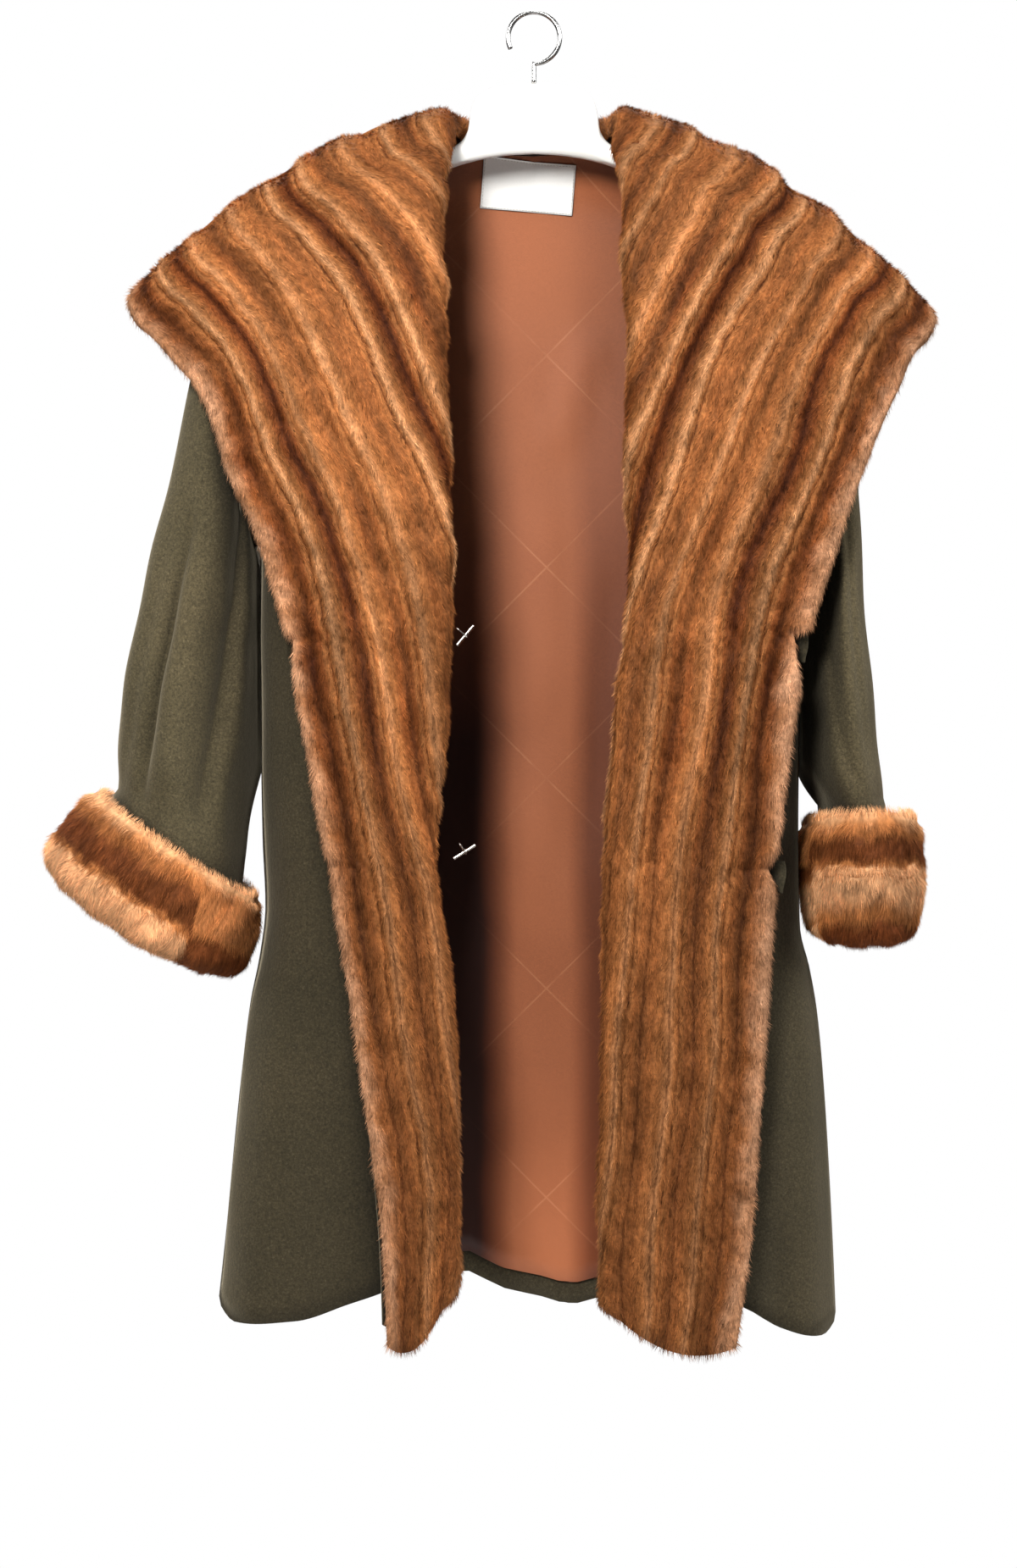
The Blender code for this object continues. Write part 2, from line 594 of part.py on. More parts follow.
def levels_of_edge(side, heights):
    """Rows, counted in the fur's table, whose free edge is at these heights."""
    dense = np.linspace(0, FUR_FRONT[side].count - 1, 1701)
    return np.interp(-np.array(heights), -FUR_FRONT[side].row(dense, "zo"), dense)


for word, side in SIDES.items():
    front = front_panel(side, ACROSS_FRONT, LEVELS)
    cloth("front_" + word, front, CLOTH, wool["fronts"])
    inner = shortened(moved(front[:, 1:], side * LINING_INSET), HEM_TURNING)
    inner[:, :, 1] = np.minimum(inner[:, :, 1], -LINING_SEAM)
    cloth("lining_front_" + word, inner, LINING, satin["fronts"])
    last = FUR_FRONT[side].count - 1
    at = np.concatenate([TOP_ROWS, levels_of_edge(side, SLIT_LEVELS[side]), [last]])
    pelt = fur_front(side, at, ACROSS_FUR, WRAP)
    cloth("fur_front_" + word, pelt, PELT, fur["fronts"])
    under = moved(pelt, side * ((PELT + BACKING) / 2 + BACKING_GAP))
    cloth("backing_front_" + word, under[BACKED_ROWS, WRAP + 2 : -1], BACKING, wool["backing"])
    cloth("sleeve_" + word, sleeve(side, 14), CLOTH, wool["sleeves"], closed=True)
    cloth("cuff_" + word, cuff(side, 14, 3, 3), PELT, fur["cuffs"], closed=True)

around_neck = np.concatenate([[-1, -0.92], np.linspace(-0.84, 0.84, 11), [0.92, 1]])
ACROSS_COLLAR = np.array([0, 0.12, 0.27, 0.43, 0.58, 0.73, 0.88, 1.0])
STAND = 3
collar = fur_collar(around_neck, ACROSS_COLLAR, STAND)
cloth("fur_collar", collar, PELT, fur["collar"])
under = moved(collar, ((PELT + BACKING) / 2 + BACKING_GAP))
cloth("backing_collar", under[2:-2:2, STAND + 2 : -1], BACKING, wool["backing"])

# --- label ----------------------------------------------------------------------------------
LABEL_WIDE, LABEL_TALL, LABEL_THICK = 80.0, 41.0, 0.8
LABEL_X, LABEL_Z = -4.7, -138.0
LABEL_TILT = math.radians(4.7)
LABEL_OFF = 2.4  # in front of the lining's middle

flat_faces = [
    (j * lining_back.shape[1] + i, j * lining_back.shape[1] + i + 1,
     (j + 1) * lining_back.shape[1] + i + 1, (j + 1) * lining_back.shape[1] + i)
    for j in range(lining_back.shape[0] - 1) for i in range(lining_back.shape[1] - 1)
]
behind = BVHTree.FromPolygons(lining_back.reshape(-1, 3).tolist(), flat_faces)
label = np.zeros((4, 6, 3))
for j, v in enumerate(np.linspace(0.5, -0.5, 4) * LABEL_TALL):
    for i, u in enumerate(np.linspace(-0.5, 0.5, 6) * LABEL_WIDE):
        x = LABEL_X + u * math.cos(LABEL_TILT) + v * math.sin(LABEL_TILT)
        z = LABEL_Z - u * math.sin(LABEL_TILT) + v * math.cos(LABEL_TILT)
        label[j, i] = behind.ray_cast((x, -200, z), (0, 1, 0))[0]
cloth("label", moved(label, -LABEL_OFF), LABEL_THICK, material("label", (0.9, 0.88, 0.84), 0.6))

# --- closing loops of cloth, in the right front's slits ---------------------------------------
LOOP = Table(
    "x_in x_out z y",
    [(211, 226, -529, -67.5), (213, 227, -538, -68.5), (216, 225.5, -547, -69), (219, 223.5, -555, -69)],
)
LOOP_DROP = 191.0  # the lower loop lies this far below the upper one
LOOP_IN = 19.0  # and this much nearer the middle
LOOP_BACK = 6.0
for word, drop, inward, forward in (("upper", 0, 0, 0), ("lower", LOOP_DROP, LOOP_IN, LOOP_BACK)):
    c = LOOP.columns
    across = (c["x_in"], (c["x_in"] + c["x_out"]) / 2, c["x_out"])
    strip = [np.stack([x - inward, c["y"] - forward, c["z"] - drop], 1) for x in across]
    cloth("loop_" + word, np.stack(strip, 1), 2.0, wool["loops"])

# --- toggles: a bar on a wire link, at the left front's fold ----------------------------------
BAR, BAR_LONG, BAR_EDGE, WIRE = 2.6, 21.5, 0.5, 1.2
LINK_PLAY = 0.35  # between a bar and its wire link
TOGGLES = Table("x y z tilt reach", [(-57.3, -84, -533.2, 50, 7), (-57.9, -84, -711.7, 32, 6)])
silver = material("toggle_metal", (0.8, 0.8, 0.8), 0.25, metal=1.0)


def wire(name, points, radius, look, cyclic=False):
    curve = bpy.data.curves.new(name, "CURVE")
    curve.dimensions = "3D"
    curve.bevel_depth = radius * MM
    curve.bevel_resolution = 1
    curve.use_fill_caps = not cyclic
    line = curve.splines.new("POLY")
    line.points.add(len(points) - 1)
    for spot, (x, y, z) in zip(line.points, points):
        spot.co = (x * MM, y * MM, z * MM, 1)
    line.use_cyclic_u = cyclic
    return place(name, curve, look)


toggles = zip(("upper", "lower"), *(TOGGLES.columns[n] for n in ("x", "y", "z", "tilt", "reach")))
for word, x, y, z, tilt, reach in toggles:
    bpy.ops.mesh.primitive_cylinder_add(vertices=12, radius=BAR / 2 * MM, depth=BAR_LONG * MM)
    made = bpy.context.object
    bar = place("toggle_bar_" + word, made.data, silver)
    bpy.data.objects.remove(made)
    bar.location = (x * MM, y * MM, z * MM)
    bar.rotation_euler = (0, math.radians(90 - tilt), 0)
    edge = bar.modifiers.new("Rounded ends", "BEVEL")
    edge.width = BAR_EDGE * MM
    edge.segments = 2
    # The link is a long wire loop round the middle of the bar, square to it.
    away = np.array([-math.sin(math.radians(tilt)), 0, math.cos(math.radians(tilt))])
    back_way = np.array([0.0, 1.0, 0.0])
    half = BAR / 2 + WIRE / 2 + LINK_PLAY
    turns = np.linspace(-math.pi / 2, math.pi / 2, 5)
    near = [half * (math.sin(t) * back_way - math.cos(t) * away) for t in turns]
    far = [reach * away + half * (math.cos(t) * away - math.sin(t) * back_way) for t in turns]
    loop = [np.array([x, y, z]) + p for p in near + far]
    wire("toggle_link_" + word, loop, WIRE / 2, silver, cyclic=True)

# --- hanger ----------------------------------------------------------------------------------
# Its outline from the middle outwards: top, bottom and half its thickness.
HANGER = Table(
    "x top bottom half",
    [(0, -59, -119, 7), (20, -60, -120, 7.5), (38, -64, -122.5, 8), (50, -73, -125, 8.5),
     (54, -84, -126, 9), (56, -98, -126.5, 9), (60, -106.5, -127.5, 9), (68, -113, -130, 10),
     (80, -117.5, -133, 11), (100, -121, -139, 13),
     (139, -132.5, -154, 16), (180, -150, -176, 19), (205, -164, -194, 20), (213, -175, -197, 14)],
)
plastic = material("hanger_plastic", (0.88, 0.88, 0.87), 0.35)
steel = material("hook_steel", (0.75, 0.75, 0.75), 0.25, metal=1.0)


def tube(name, rings, look):
    """A closed body through rings of points, with both ends filled."""
    count = len(rings[0])
    faces = [tuple(range(count)), tuple(range(len(rings) * count - 1, (len(rings) - 1) * count - 1, -1))]
    for j in range(len(rings) - 1):
        for i in range(count):
            k = (i + 1) % count
            faces.append((j * count + k, j * count + i, (j + 1) * count + i, (j + 1) * count + k))
    mesh = bpy.data.meshes.new(name)
    mesh.from_pydata((np.concatenate(rings) * MM).tolist(), [], faces)
    return place(name, mesh, look)


HANGER_DROP = 5.0  # the right end hangs this much lower, as the right shoulder does
around = np.linspace(0, 2 * math.pi, 12, endpoint=False)
rings = []
right_half = HANGER.columns["x"]
places = np.concatenate([-right_half[:0:-1], right_half])
for x in places:
    top, bottom, half = (float(HANGER.along("x", abs(x), n)) for n in ("top", "bottom", "half"))
    drop = HANGER_DROP * np.clip((x - 100) / 100, 0, 1)
    z = (top + bottom) / 2 - drop + (top - bottom) / 2 * np.cos(around)
    rings.append(np.stack([np.full(12, x), half * np.sin(around), z], 1))
tube("hanger", rings, plastic)

# The wire bends from the stem round to the left, over the rod and down.
turns = np.radians(np.linspace(-90, 205, 19))
centre_z = -HOOK_RADIUS + HOOK_WIRE / 2
arc = [(HOOK_RADIUS * math.cos(t), 0, centre_z + HOOK_RADIUS * math.sin(t)) for t in turns]
stem = [(0, 0, HOOK_FOOT_Z)]
wire("hook", stem + arc, HOOK_WIRE / 2, steel)
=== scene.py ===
"""Looks of a fur-trimmed wool coat on its hanger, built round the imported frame.

Every soft piece is drawn on the same surfaces as its solid, only finer: wool panels with soft
creases, satin linings, and mink pelts with their strips, seams and hairs. Sizes are in
millimetres until a mesh is made. +X is the viewer's right, -Y the coat's front and +Z up.
"""
import math

import bpy
import numpy as np
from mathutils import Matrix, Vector
from mathutils.bvhtree import BVHTree


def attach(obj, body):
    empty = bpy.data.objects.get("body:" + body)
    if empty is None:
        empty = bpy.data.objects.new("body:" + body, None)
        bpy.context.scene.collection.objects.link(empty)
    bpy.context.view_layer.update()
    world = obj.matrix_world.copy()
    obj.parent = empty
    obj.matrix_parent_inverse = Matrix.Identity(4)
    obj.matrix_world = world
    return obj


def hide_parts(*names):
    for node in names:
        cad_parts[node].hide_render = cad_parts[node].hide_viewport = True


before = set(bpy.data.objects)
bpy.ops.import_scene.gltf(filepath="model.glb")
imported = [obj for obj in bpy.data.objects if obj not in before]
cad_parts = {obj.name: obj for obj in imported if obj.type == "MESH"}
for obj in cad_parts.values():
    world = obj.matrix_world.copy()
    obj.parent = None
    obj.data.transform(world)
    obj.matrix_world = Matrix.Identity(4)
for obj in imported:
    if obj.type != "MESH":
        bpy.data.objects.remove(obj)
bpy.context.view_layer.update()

MM = 0.001

# --- driving sizes -----------------------------------------------------------------------------
CLOTH = 2.4  # wool melton
LINING = 1.0
LINING_AIR = 1.5  # between the wool and its lining
BACKING = 2.0  # cloth under the turned-back fur, and of the loops
PELT = 12.0  # skin and hair together, the fur's whole reach
ROLL = 11.5  # radius of the fold where the front turns back
SEAM = 0.03  # half the gap between the front and back at the shoulder and side

SHOULDER_ROUND = 60.0  # drop from the shoulder line to where the body has its full depth
SECTION = 2.5  # how square the body's cross-section is
ARMHOLE_DEPTH = 52.0  # half the armhole's size from front to back
SHOULDER_Z = {-1: -174.0, 1: -180.0}  # -1 is the viewer's left, 1 the right
UNDERARM_Z = {-1: -450.0, 1: -455.0}
EDGE_BEHIND_FOLD = 16.0  # the cloth front ends this far inside the fold's outline
LINING_BEHIND_FOLD = 36.0  # and its lining this far
NECK_WIDTH = 80.0  # half the back neck, where the front's edge meets the shoulder
NECK_Z = -107.5
NECK_DIP = 4.0

SETTLING = 6  # rounds until the width and the height of a panel's row agree

HOOK_RADIUS = 22.0
HOOK_WIRE = 4.0
HOOK_FOOT_Z = -58.7  # just above the hanger's top
HOOK_FROM, HOOK_TO = -90, 205  # degrees the hook's bend runs over, from its stem


def unit(vectors, least=1e-9):
    """The vectors at length 1, except those with next to none."""
    return vectors / np.maximum(np.linalg.norm(vectors, axis=-1, keepdims=True), least)


def eased(share):
    """A share from 0 to 1 with level ends."""
    return share * share * (3 - 2 * share)


def bell(off):
    """1 at no distance, falling off smoothly to nearly nothing at 2."""
    return np.exp(-(off**2))


def pchip(at, xs, ys):
    """Smooth curve through (xs, ys) that never swings past its points."""
    order = np.argsort(xs)
    xs, ys = np.asarray(xs, float)[order], np.asarray(ys, float)[order]
    step = np.diff(xs)
    rise = np.diff(ys) / step
    slope = np.zeros(len(xs))
    slope[0], slope[-1] = rise[0], rise[-1]
    for i in range(1, len(xs) - 1):
        if rise[i - 1] * rise[i] > 0:
            w1, w2 = 2 * step[i] + step[i - 1], step[i] + 2 * step[i - 1]
            slope[i] = (w1 + w2) / (w1 / rise[i - 1] + w2 / rise[i])
    at = np.clip(np.asarray(at, float), xs[0], xs[-1])
    k = np.clip(np.searchsorted(xs, at, side="right") - 1, 0, len(step) - 1)
    h = step[k]
    u = (at - xs[k]) / h
    return (
        ys[k] * (2 * u**3 - 3 * u**2 + 1)
        + h * slope[k] * (u**3 - 2 * u**2 + u)
        + ys[k + 1] * (3 * u**2 - 2 * u**3)
        + h * slope[k + 1] * (u**3 - u**2)
    )


class Table:
    """Rows of sizes under named columns, read between rows by a smooth curve."""

    def __init__(self, columns, rows):
        self.columns = dict(zip(columns.split(), np.array(rows, float).T))
        self.count = len(rows)

    def rows(self):
        return zip(*self.columns.values())

    def along(self, key, at, name):
        return pchip(at, self.columns[key], self.columns[name])

    def row(self, at, name):
        return pchip(at, np.arange(self.count), self.columns[name])


def both(columns, left, right):
    """A table for each side."""
    return {-1: Table(columns, left), 1: Table(columns, right)}


# Shoulder line of the cloth, from the middle of the back neck out to the sleeve.
SHOULDER = both(
    "x z",
    [(0, -88), (66, -106), (100, -111), (139, -123), (189, -146), (243, -174)],
    [(0, -88), (66, -106), (100, -111.5), (139, -125), (189, -150), (238, -180)],
)

# Depth of the body in front of and behind the shoulder line, by height.
DEPTH = Table(
    "z front back",
    [(-100, 58, 47), (-180, 62, 62), (-260, 69, 72), (-360, 76, 78), (-450, 79, 80),
     (-600, 81, 85), (-750, 84, 91), (-900, 90, 98), (-1000, 95, 103), (-1120, 101, 110)],
)

# Half widths of the body at the side seams, left and right.
SIDE = both(
    "z x",
    [(-174, 243), (-450, 232), (-600, 231.5), (-700, 230), (-760, 227.5), (-800, 232), (-840, 240),
     (-900, 247.5), (-962, 254), (-1027, 260), (-1092, 267)],
    [(-180, 237), (-455, 226), (-600, 225), (-690, 224), (-780, 225.5), (-810, 233), (-850, 240),
     (-916, 246), (-980, 250), (-1060, 254), (-1110, 256)],
)

# Outline of the front fold, half a coat's opening from the middle, by height.
FOLD = both(
    "z x",
    [(-84, 60), (-137, 70), (-230, 73), (-308, 74), (-428, 64), (-526, 67), (-603, 70.5), (-715, 77),
     (-848, 64), (-920, 61), (-1062, 60)],
    [(-84, 60), (-137, 68), (-165, 71), (-239, 71), (-320, 75.5), (-461, 72.5), (-533, 68), (-638, 59),
     (-708, 56.5), (-777, 53.5), (-916, 51.5), (-988, 49.5), (-1068, 52)],
)

# How far the front edge hangs back into the coat, by height.
TURN_IN = both(
    "z y",
    [(-500, 0), (-700, 6), (-850, 20), (-950, 30), (-1120, 38)],
    [(-500, 0), (-900, 2), (-1120, 4)],
)

# Hems: height at each place across the panel.
HEM_FRONT = both(
    "x z",
    [(40, -1046), (90, -1056), (122, -1075), (156, -1087), (199, -1102), (249, -1105), (267, -1092)],
    [(40, -1062), (90, -1070), (135, -1078), (172, -1088), (204, -1107), (240, -1116), (256, -1105)],
)
HEM_BACK = Table(
    "x z",
    [(-267, -1092), (-200, -1106), (-120, -1100), (-62, -1088), (-27, -1103), (7, -1109),
     (34, -1115), (60, -1110), (130, -1118), (200, -1108), (256, -1105)],
)

# Soft flutes of the body's skirt: place at the hem and at the top, height where each starts,
# how far it stands out, and its width.
FLUTES_BACK = Table(
    "x_hem x_top z_top out width",
    [(-205, -170, -560, 9, 30), (-128, -105, -500, -8, 34), (-52, -50, -620, 11, 36),
     (32, 25, -540, -9, 33), (112, 92, -600, 10, 38), (196, 160, -520, -8, 30)],
)
FLUTES_FRONT = both(
    "x_hem x_top z_top out width",
    [(-236, -205, -640, 5, 17), (-196, -178, -560, -6, 22)],
    [(228, 198, -660, 6, 19), (196, 172, -600, -5, 18)],
)

FLUTES_TO = -1100.0  # the height where the flutes have their places at the hem
FLUTES_FROM_SIDE = {"front": 18.0, "back": 24.0}  # they fade this near the side seams

# Sleeves: each ring's outer and inner point in front view, its half size from front to back,
# where it lies from front to back, and how far its inner side lies behind its outer side, as
# the arms hang a little behind the body. The last rings follow the cuff.
SLEEVE = both(
    "xo zo xi zi half y behind",
    [(245.2, -174, 235, -450, 52, 0, 0), (260, -198, 239, -456, 52, 0, 6),
     (275, -240, 237, -466, 52, 3, 20), (287, -302, 230, -484, 53, 7, 36),
     (300, -364, 226, -508, 54, 9, 44), (314, -426, 225, -538, 54, 10, 46),
     (330, -494, 225, -572, 55, 10, 46), (346, -570, 229, -614, 56, 9, 40),
     (352, -625, 240, -668, 57, 6, 14), (354, -660, 248, -722, 57, 4, 0)],
    [(239.2, -180, 229, -455, 52, 0, 0), (252, -203, 233, -461, 52, 2, 6),
     (262, -245, 231, -470, 55, 7, 20), (268, -304, 225, -486, 59, 13, 34),
     (271.5, -368, 221, -506, 62, 17, 42), (275.5, -434, 220, -536, 65, 19, 42),
     (279, -500, 220, -572, 68, 19, 42), (286, -568, 219, -614, 70, 18, 36),
     (292, -626, 227, -642, 71, 15, 12), (297, -668, 245, -674, 70, 14, 0)],
)
# Lengthwise flutes of the sleeves: place round the ring in degrees from the outer side towards
# the front, depth, width in degrees, and the first and last ring they show on.
SLEEVE_FLUTES = both(
    "turn out width first last",
    [(50, -5, 20, 3, 9), (76, 4, 14, 4, 9), (108, -4, 16, 5, 9), (250, -5, 26, 4, 9)],
    [(62, 3, 20, 4, 9), (118, -4, 26, 4, 9), (240, -4, 24, 4, 9)],
)

# Turned-back fur cuffs: top and bottom ring of the outer wall, as for the sleeves, and how far
# each ring's front hangs below its back for each millimetre it stands forward.
CUFF = both(
    "xo zo xi zi half y pitch",
    [(367, -660, 236.5, -749, 66, 4, 0.02), (405, -710, 250, -799, 74, 4, 0.26)],
    [(323, -680, 234, -682, 86, 14, -0.08), (322, -768, 239, -770, 88, 14, 0.08)],
)
CUFF_RETURN = 25.0  # how far the fur goes up again inside the sleeve
SLEEVE_GAP = 4.6  # between the middles of the sleeve's cloth and the body's, where they touch
SLEEVE_IN_CUFF = (0.45, 0.6, 0.76, 0.92)  # where the sleeve's last rings lie down the cuff's wall

# Turned-back fur front. Each row runs from the fold to the free edge. It gives the fold's
# height, the free edge, how much the row arches up and bows forward between them, and how the
# fur turns at the fold: the way it heads, the angle it turns and how far it goes on inside.
FUR_FRONT = both(
    "zi xo yo zo arch belly heading turn return",
    [(-84, 346, 0, -243, 25, 0, 0, 95, 3), (-89, 347, -10, -249, 24, 15, 10, 95, 3),
     (-99, 345, -19, -260, 21, 24, 30, 100, 3), (-118, 338, -27, -272, 17, 26, 60, 120, 4),
     (-134, 324, -35, -284, 14, 22, 80, 150, 7), (-160, 303, -46, -308, 11, 17, 90, 180, 12),
     (-205, 288, -55, -325, 8, 14, 90, 180, 12), (-265, 270, -63, -361, 5, 12, 90, 180, 12),
     (-335, 258, -69, -401, 3, 9, 90, 180, 12), (-405, 238, -73, -442, 1, 6, 90, 180, 12),
     (-470, 221, -76, -495, 0, 5, 90, 180, 12), (-527, 211, -78, -531, 0, 5, 90, 180, 12),
     (-610, 196, -80, -610, 0, 5, 90, 180, 12), (-728, 175, -85, -728, 0, 4, 90, 180, 12),
     (-830, 157, -90, -830, 0, 3, 90, 180, 12), (-930, 142, -96, -930, 0, 2, 90, 180, 12),
     (-1030, 128, -103, -1030, -6, 0, 90, 180, 12), (-1095, 123, -108, -1117, -20, 0, 90, 180, 12)],
    [(-84, 342, 0, -259, 27, 0, 0, 95, 3), (-88, 343, -10, -266, 26, 15, 10, 95, 3),
     (-98, 340, -19, -277, 23, 24, 30, 100, 3), (-118, 333, -27, -287, 18, 26, 60, 120, 4),
     (-134, 322, -35, -298, 15, 22, 80, 150, 7), (-160, 309, -46, -326, 12, 17, 90, 180, 12),
     (-205, 297, -54, -350, 9, 14, 90, 180, 12), (-265, 283, -62, -382, 6, 12, 90, 180, 12),
     (-335, 265, -70, -429, 3, 9, 90, 180, 12), (-405, 255, -75, -460, 2, 6, 90, 180, 12),
     (-470, 242, -78, -498, 0, 5, 90, 180, 12), (-531, 231, -80, -534, 0, 5, 90, 180, 12),
     (-612, 218, -82, -612, 0, 5, 90, 180, 12), (-727, 204, -86, -727, 0, 4, 90, 180, 12),
     (-830, 197, -91, -830, 0, 3, 90, 180, 12), (-930, 189, -96, -930, 0, 2, 90, 180, 12),
     (-1030, 181, -102, -1030, -4, 0, 90, 180, 12), (-1098, 168, -108, -1119, -18, 0, 90, 180, 12)],
)
# The fold's depth over the shoulder, by row. From the last of these rows it follows the cloth.
FOLD_DEPTH = Table("row y", [(0, 0), (1, -18), (2, -32), (3, -44), (4, -60), (5, -70)])
# Slits in the free edges where the closing loops come through: the deepest point and how far
# the edge is drawn in above and below it.
SLITS = both(
    "z deep above below",
    [(-536, 9, 4, 36), (-722, 5, 14, 40)],
    [(-532, 20, 3, 42), (-725, 12, 14, 18)],
)
SLIT_SHARP = 14  # the higher, the closer a slit keeps to the free edge
BOTTOM_LIFT = {-1: 26.0, 1: 16.0}  # the lowest corner at the fold curves up by this much

# Collar from a shoulder's ridge (row 0) round to the middle of the back (last row), each row
# from the neck to the outer edge. Left and right rows differ only near their wing tips.
COLLAR = Table(
    "xn yn zn xe ye ze arch belly return",
    [(76, 0, -84, 344, 0, -251, 26, 0, 3), (74, 12, -85, 342, 12, -255, 25, 22, 4),
     (70, 24, -86, 332, 27, -266, 22, 34, 6), (62, 34, -86, 311, 44, -283, 17, 34, 8),
     (50, 42, -85, 276, 64, -313, 9, 30, 10), (34, 48, -84, 225, 84, -354, 3, 25, 12),
     (17, 51, -83, 126, 98, -391, 0, 18, 13), (0, 52, -82, 0, 103, -403, 0, 15, 13.5)],
)
TIP_DROP = 8.0  # the right wing tip hangs this much below the mean, the left above it
STAND_TURN = math.radians(98)  # how far the collar turns over at the neck, into its stand


def shoulder_z(x):
    return np.where(x < 0, SHOULDER[-1].along("x", -x, "z"), SHOULDER[1].along("x", x, "z"))


def side_x(side, z):
    return SIDE[side].along("z", z, "x")


def armhole(side, z):
    """Half the armhole's depth at a height, 0 below the underarm."""
    top, low = SHOULDER_Z[side], UNDERARM_Z[side]
    q = (z - (top + low) / 2) / ((top - low) / 2)
    return ARMHOLE_DEPTH * np.sqrt(np.clip(1 - q * q, 0, 1))


def rounded(below):
    """0 at the shoulder line, 1 where the body is at its full depth."""
    q = np.clip(below / SHOULDER_ROUND, 0, 1)
    return np.sqrt(1 - (1 - q) ** 2)


def flutes(table, x, z):
    """Sum of the skirt's soft folds at a place on a panel."""
    total = np.zeros(np.broadcast(x, z).shape)
    for x_hem, x_top, z_top, out, width in table.rows():
        down = np.clip((z_top - z) / (z_top - FLUTES_TO), 0, 1)
        middle = x_top + (x_hem - x_top) * down
        total += out * down**1.3 * bell((x - middle) / width)
    return total


def body_depth(side, front, x, z):
    """How far the cloth stands in front of or behind the shoulder line."""
    half = side_x(side, z)
    across = np.clip(np.abs(x) / half, 0, 1)
    deep = DEPTH.along("z", z, "front" if front else "back") * rounded(shoulder_z(x) - z)
    hole = armhole(side, z)
    return hole + np.maximum(deep - hole, 0) * (1 - across**SECTION) ** (1 / SECTION)


def front_y(side, x, z):
    fold = FOLD[side].along("z", z, "x")
    half = side_x(side, z)
    inward = np.clip((half - np.abs(x)) / (half - fold), 0, 1.3)
    turn = TURN_IN[side].along("z", z, "y") * inward**2
    out = flutes(FLUTES_FRONT[side], x, z)
    fade = np.clip((half - np.abs(x)) / FLUTES_FROM_SIDE["front"], 0, 1)
    return -(SEAM + body_depth(side, True, x, z) + out * fade) + turn


def back_y(x, z):
    depth = np.where(x < 0, body_depth(-1, False, x, z), body_depth(1, False, x, z))
    half = np.where(x < 0, side_x(-1, z), side_x(1, z))
    fade = np.clip((half - np.abs(x)) / FLUTES_FROM_SIDE["back"], 0, 1)
    return SEAM + depth + flutes(FLUTES_BACK, x, z) * fade


def back_panel(across, levels):
    """Grid of the back from the left side seam to the right."""
    across = np.concatenate([-across[:0:-1], across])
    grid = np.zeros((len(levels), len(across), 3))
    for j, t in enumerate(levels):
        z = np.full(len(across), SHOULDER_Z[-1])
        for _ in range(SETTLING):
            x = across * np.where(across < 0, side_x(-1, z), side_x(1, z))
            dip = NECK_DIP * np.clip(1 - (x / NECK_WIDTH) ** 2, 0, 1)
            top = np.minimum(shoulder_z(x), NECK_Z - dip)
            z = top + (HEM_BACK.along("x", x, "z") - top) * t
        grid[j, :, 0], grid[j, :, 2] = x, z
        grid[j, :, 1] = back_y(x, z)
    return grid


def arrange(y_inner, x_inner, side, rows, at, across):
    """Points of fur rows between the fold and the free edge."""
    zi, xo, yo, zo = (rows.row(at, n)[:, None] for n in ("zi", "xo", "yo", "zo"))
    arch, belly = (rows.row(at, n)[:, None] for n in ("arch", "belly"))
    bow = 4 * across * (1 - across)
    x = x_inner + (xo - x_inner) * across
    y = y_inner + (yo - y_inner) * across - belly * bow
    z = zi + (zo - zi) * across + arch * bow
    return np.stack([side * x, y, z], 2)


def slit_depth(side, z):
    """How far a slit draws the free edge in at a height."""
    total = np.zeros(np.shape(z))
    for z0, deep, above, below in SLITS[side].rows():
        reach = np.where(z > z0, above, below)
        total = np.maximum(total, deep * np.clip(1 - np.abs(z - z0) / reach, 0, 1))
    return total


def with_fold(face, inward, way, turn, on, round_count):
    """The rows of a face with the fold before them, which turns this far, and what goes on inside it."""
    angle = np.linspace(1, 0, round_count, endpoint=False)[None, :, None] * turn
    curl = face[:, :1] + ROLL * (np.sin(angle) * inward + (1 - np.cos(angle)) * way)
    end = curl[:, :1] + on * (np.cos(turn) * inward + np.sin(turn) * way)
    return np.concatenate([end, curl, face], 1)


def fur_front(side, at, across, round_count):
    """Grid of a turned-back front: the part inside the coat, the fold, then the revers."""
    rows = FUR_FRONT[side]
    z_fold = rows.row(at, "zi")
    x_inner = FOLD[side].along("z", z_fold, "x") + ROLL + PELT / 2
    follow = np.clip(at - 3.5, 0, 1)
    y_inner = (1 - follow) * FOLD_DEPTH.along("row", at, "y")
    y_inner += follow * (front_y(side, side * x_inner, z_fold) - ROLL)
    face = arrange(y_inner[:, None], x_inner[:, None], side, rows, at, across)
    deep = slit_depth(side, rows.row(at, "zo"))[:, None]
    face[:, :, 0] -= side * deep * across**SLIT_SHARP
    heading = np.radians(rows.row(at, "heading"))
    turn = np.radians(rows.row(at, "turn"))[:, None, None]
    on = rows.row(at, "return")[:, None, None]
    way = np.stack([np.zeros(len(at)), np.sin(heading), -np.cos(heading)], 1)[:, None, :]
    grid = with_fold(face, np.array([-side, 0.0, 0.0]), way, turn, on, round_count)
    low = np.clip((at - (rows.count - 3)) / 2, 0, 1) ** 2
    lift = np.concatenate([[1.0], np.linspace(1, 0, round_count, endpoint=False), np.zeros(across.shape[1])])
    grid[:, :, 2] += BOTTOM_LIFT[side] * low[:, None] * lift
    grid[:, :, 1] = np.minimum(grid[:, :, 1], -SEAM)
    return grid


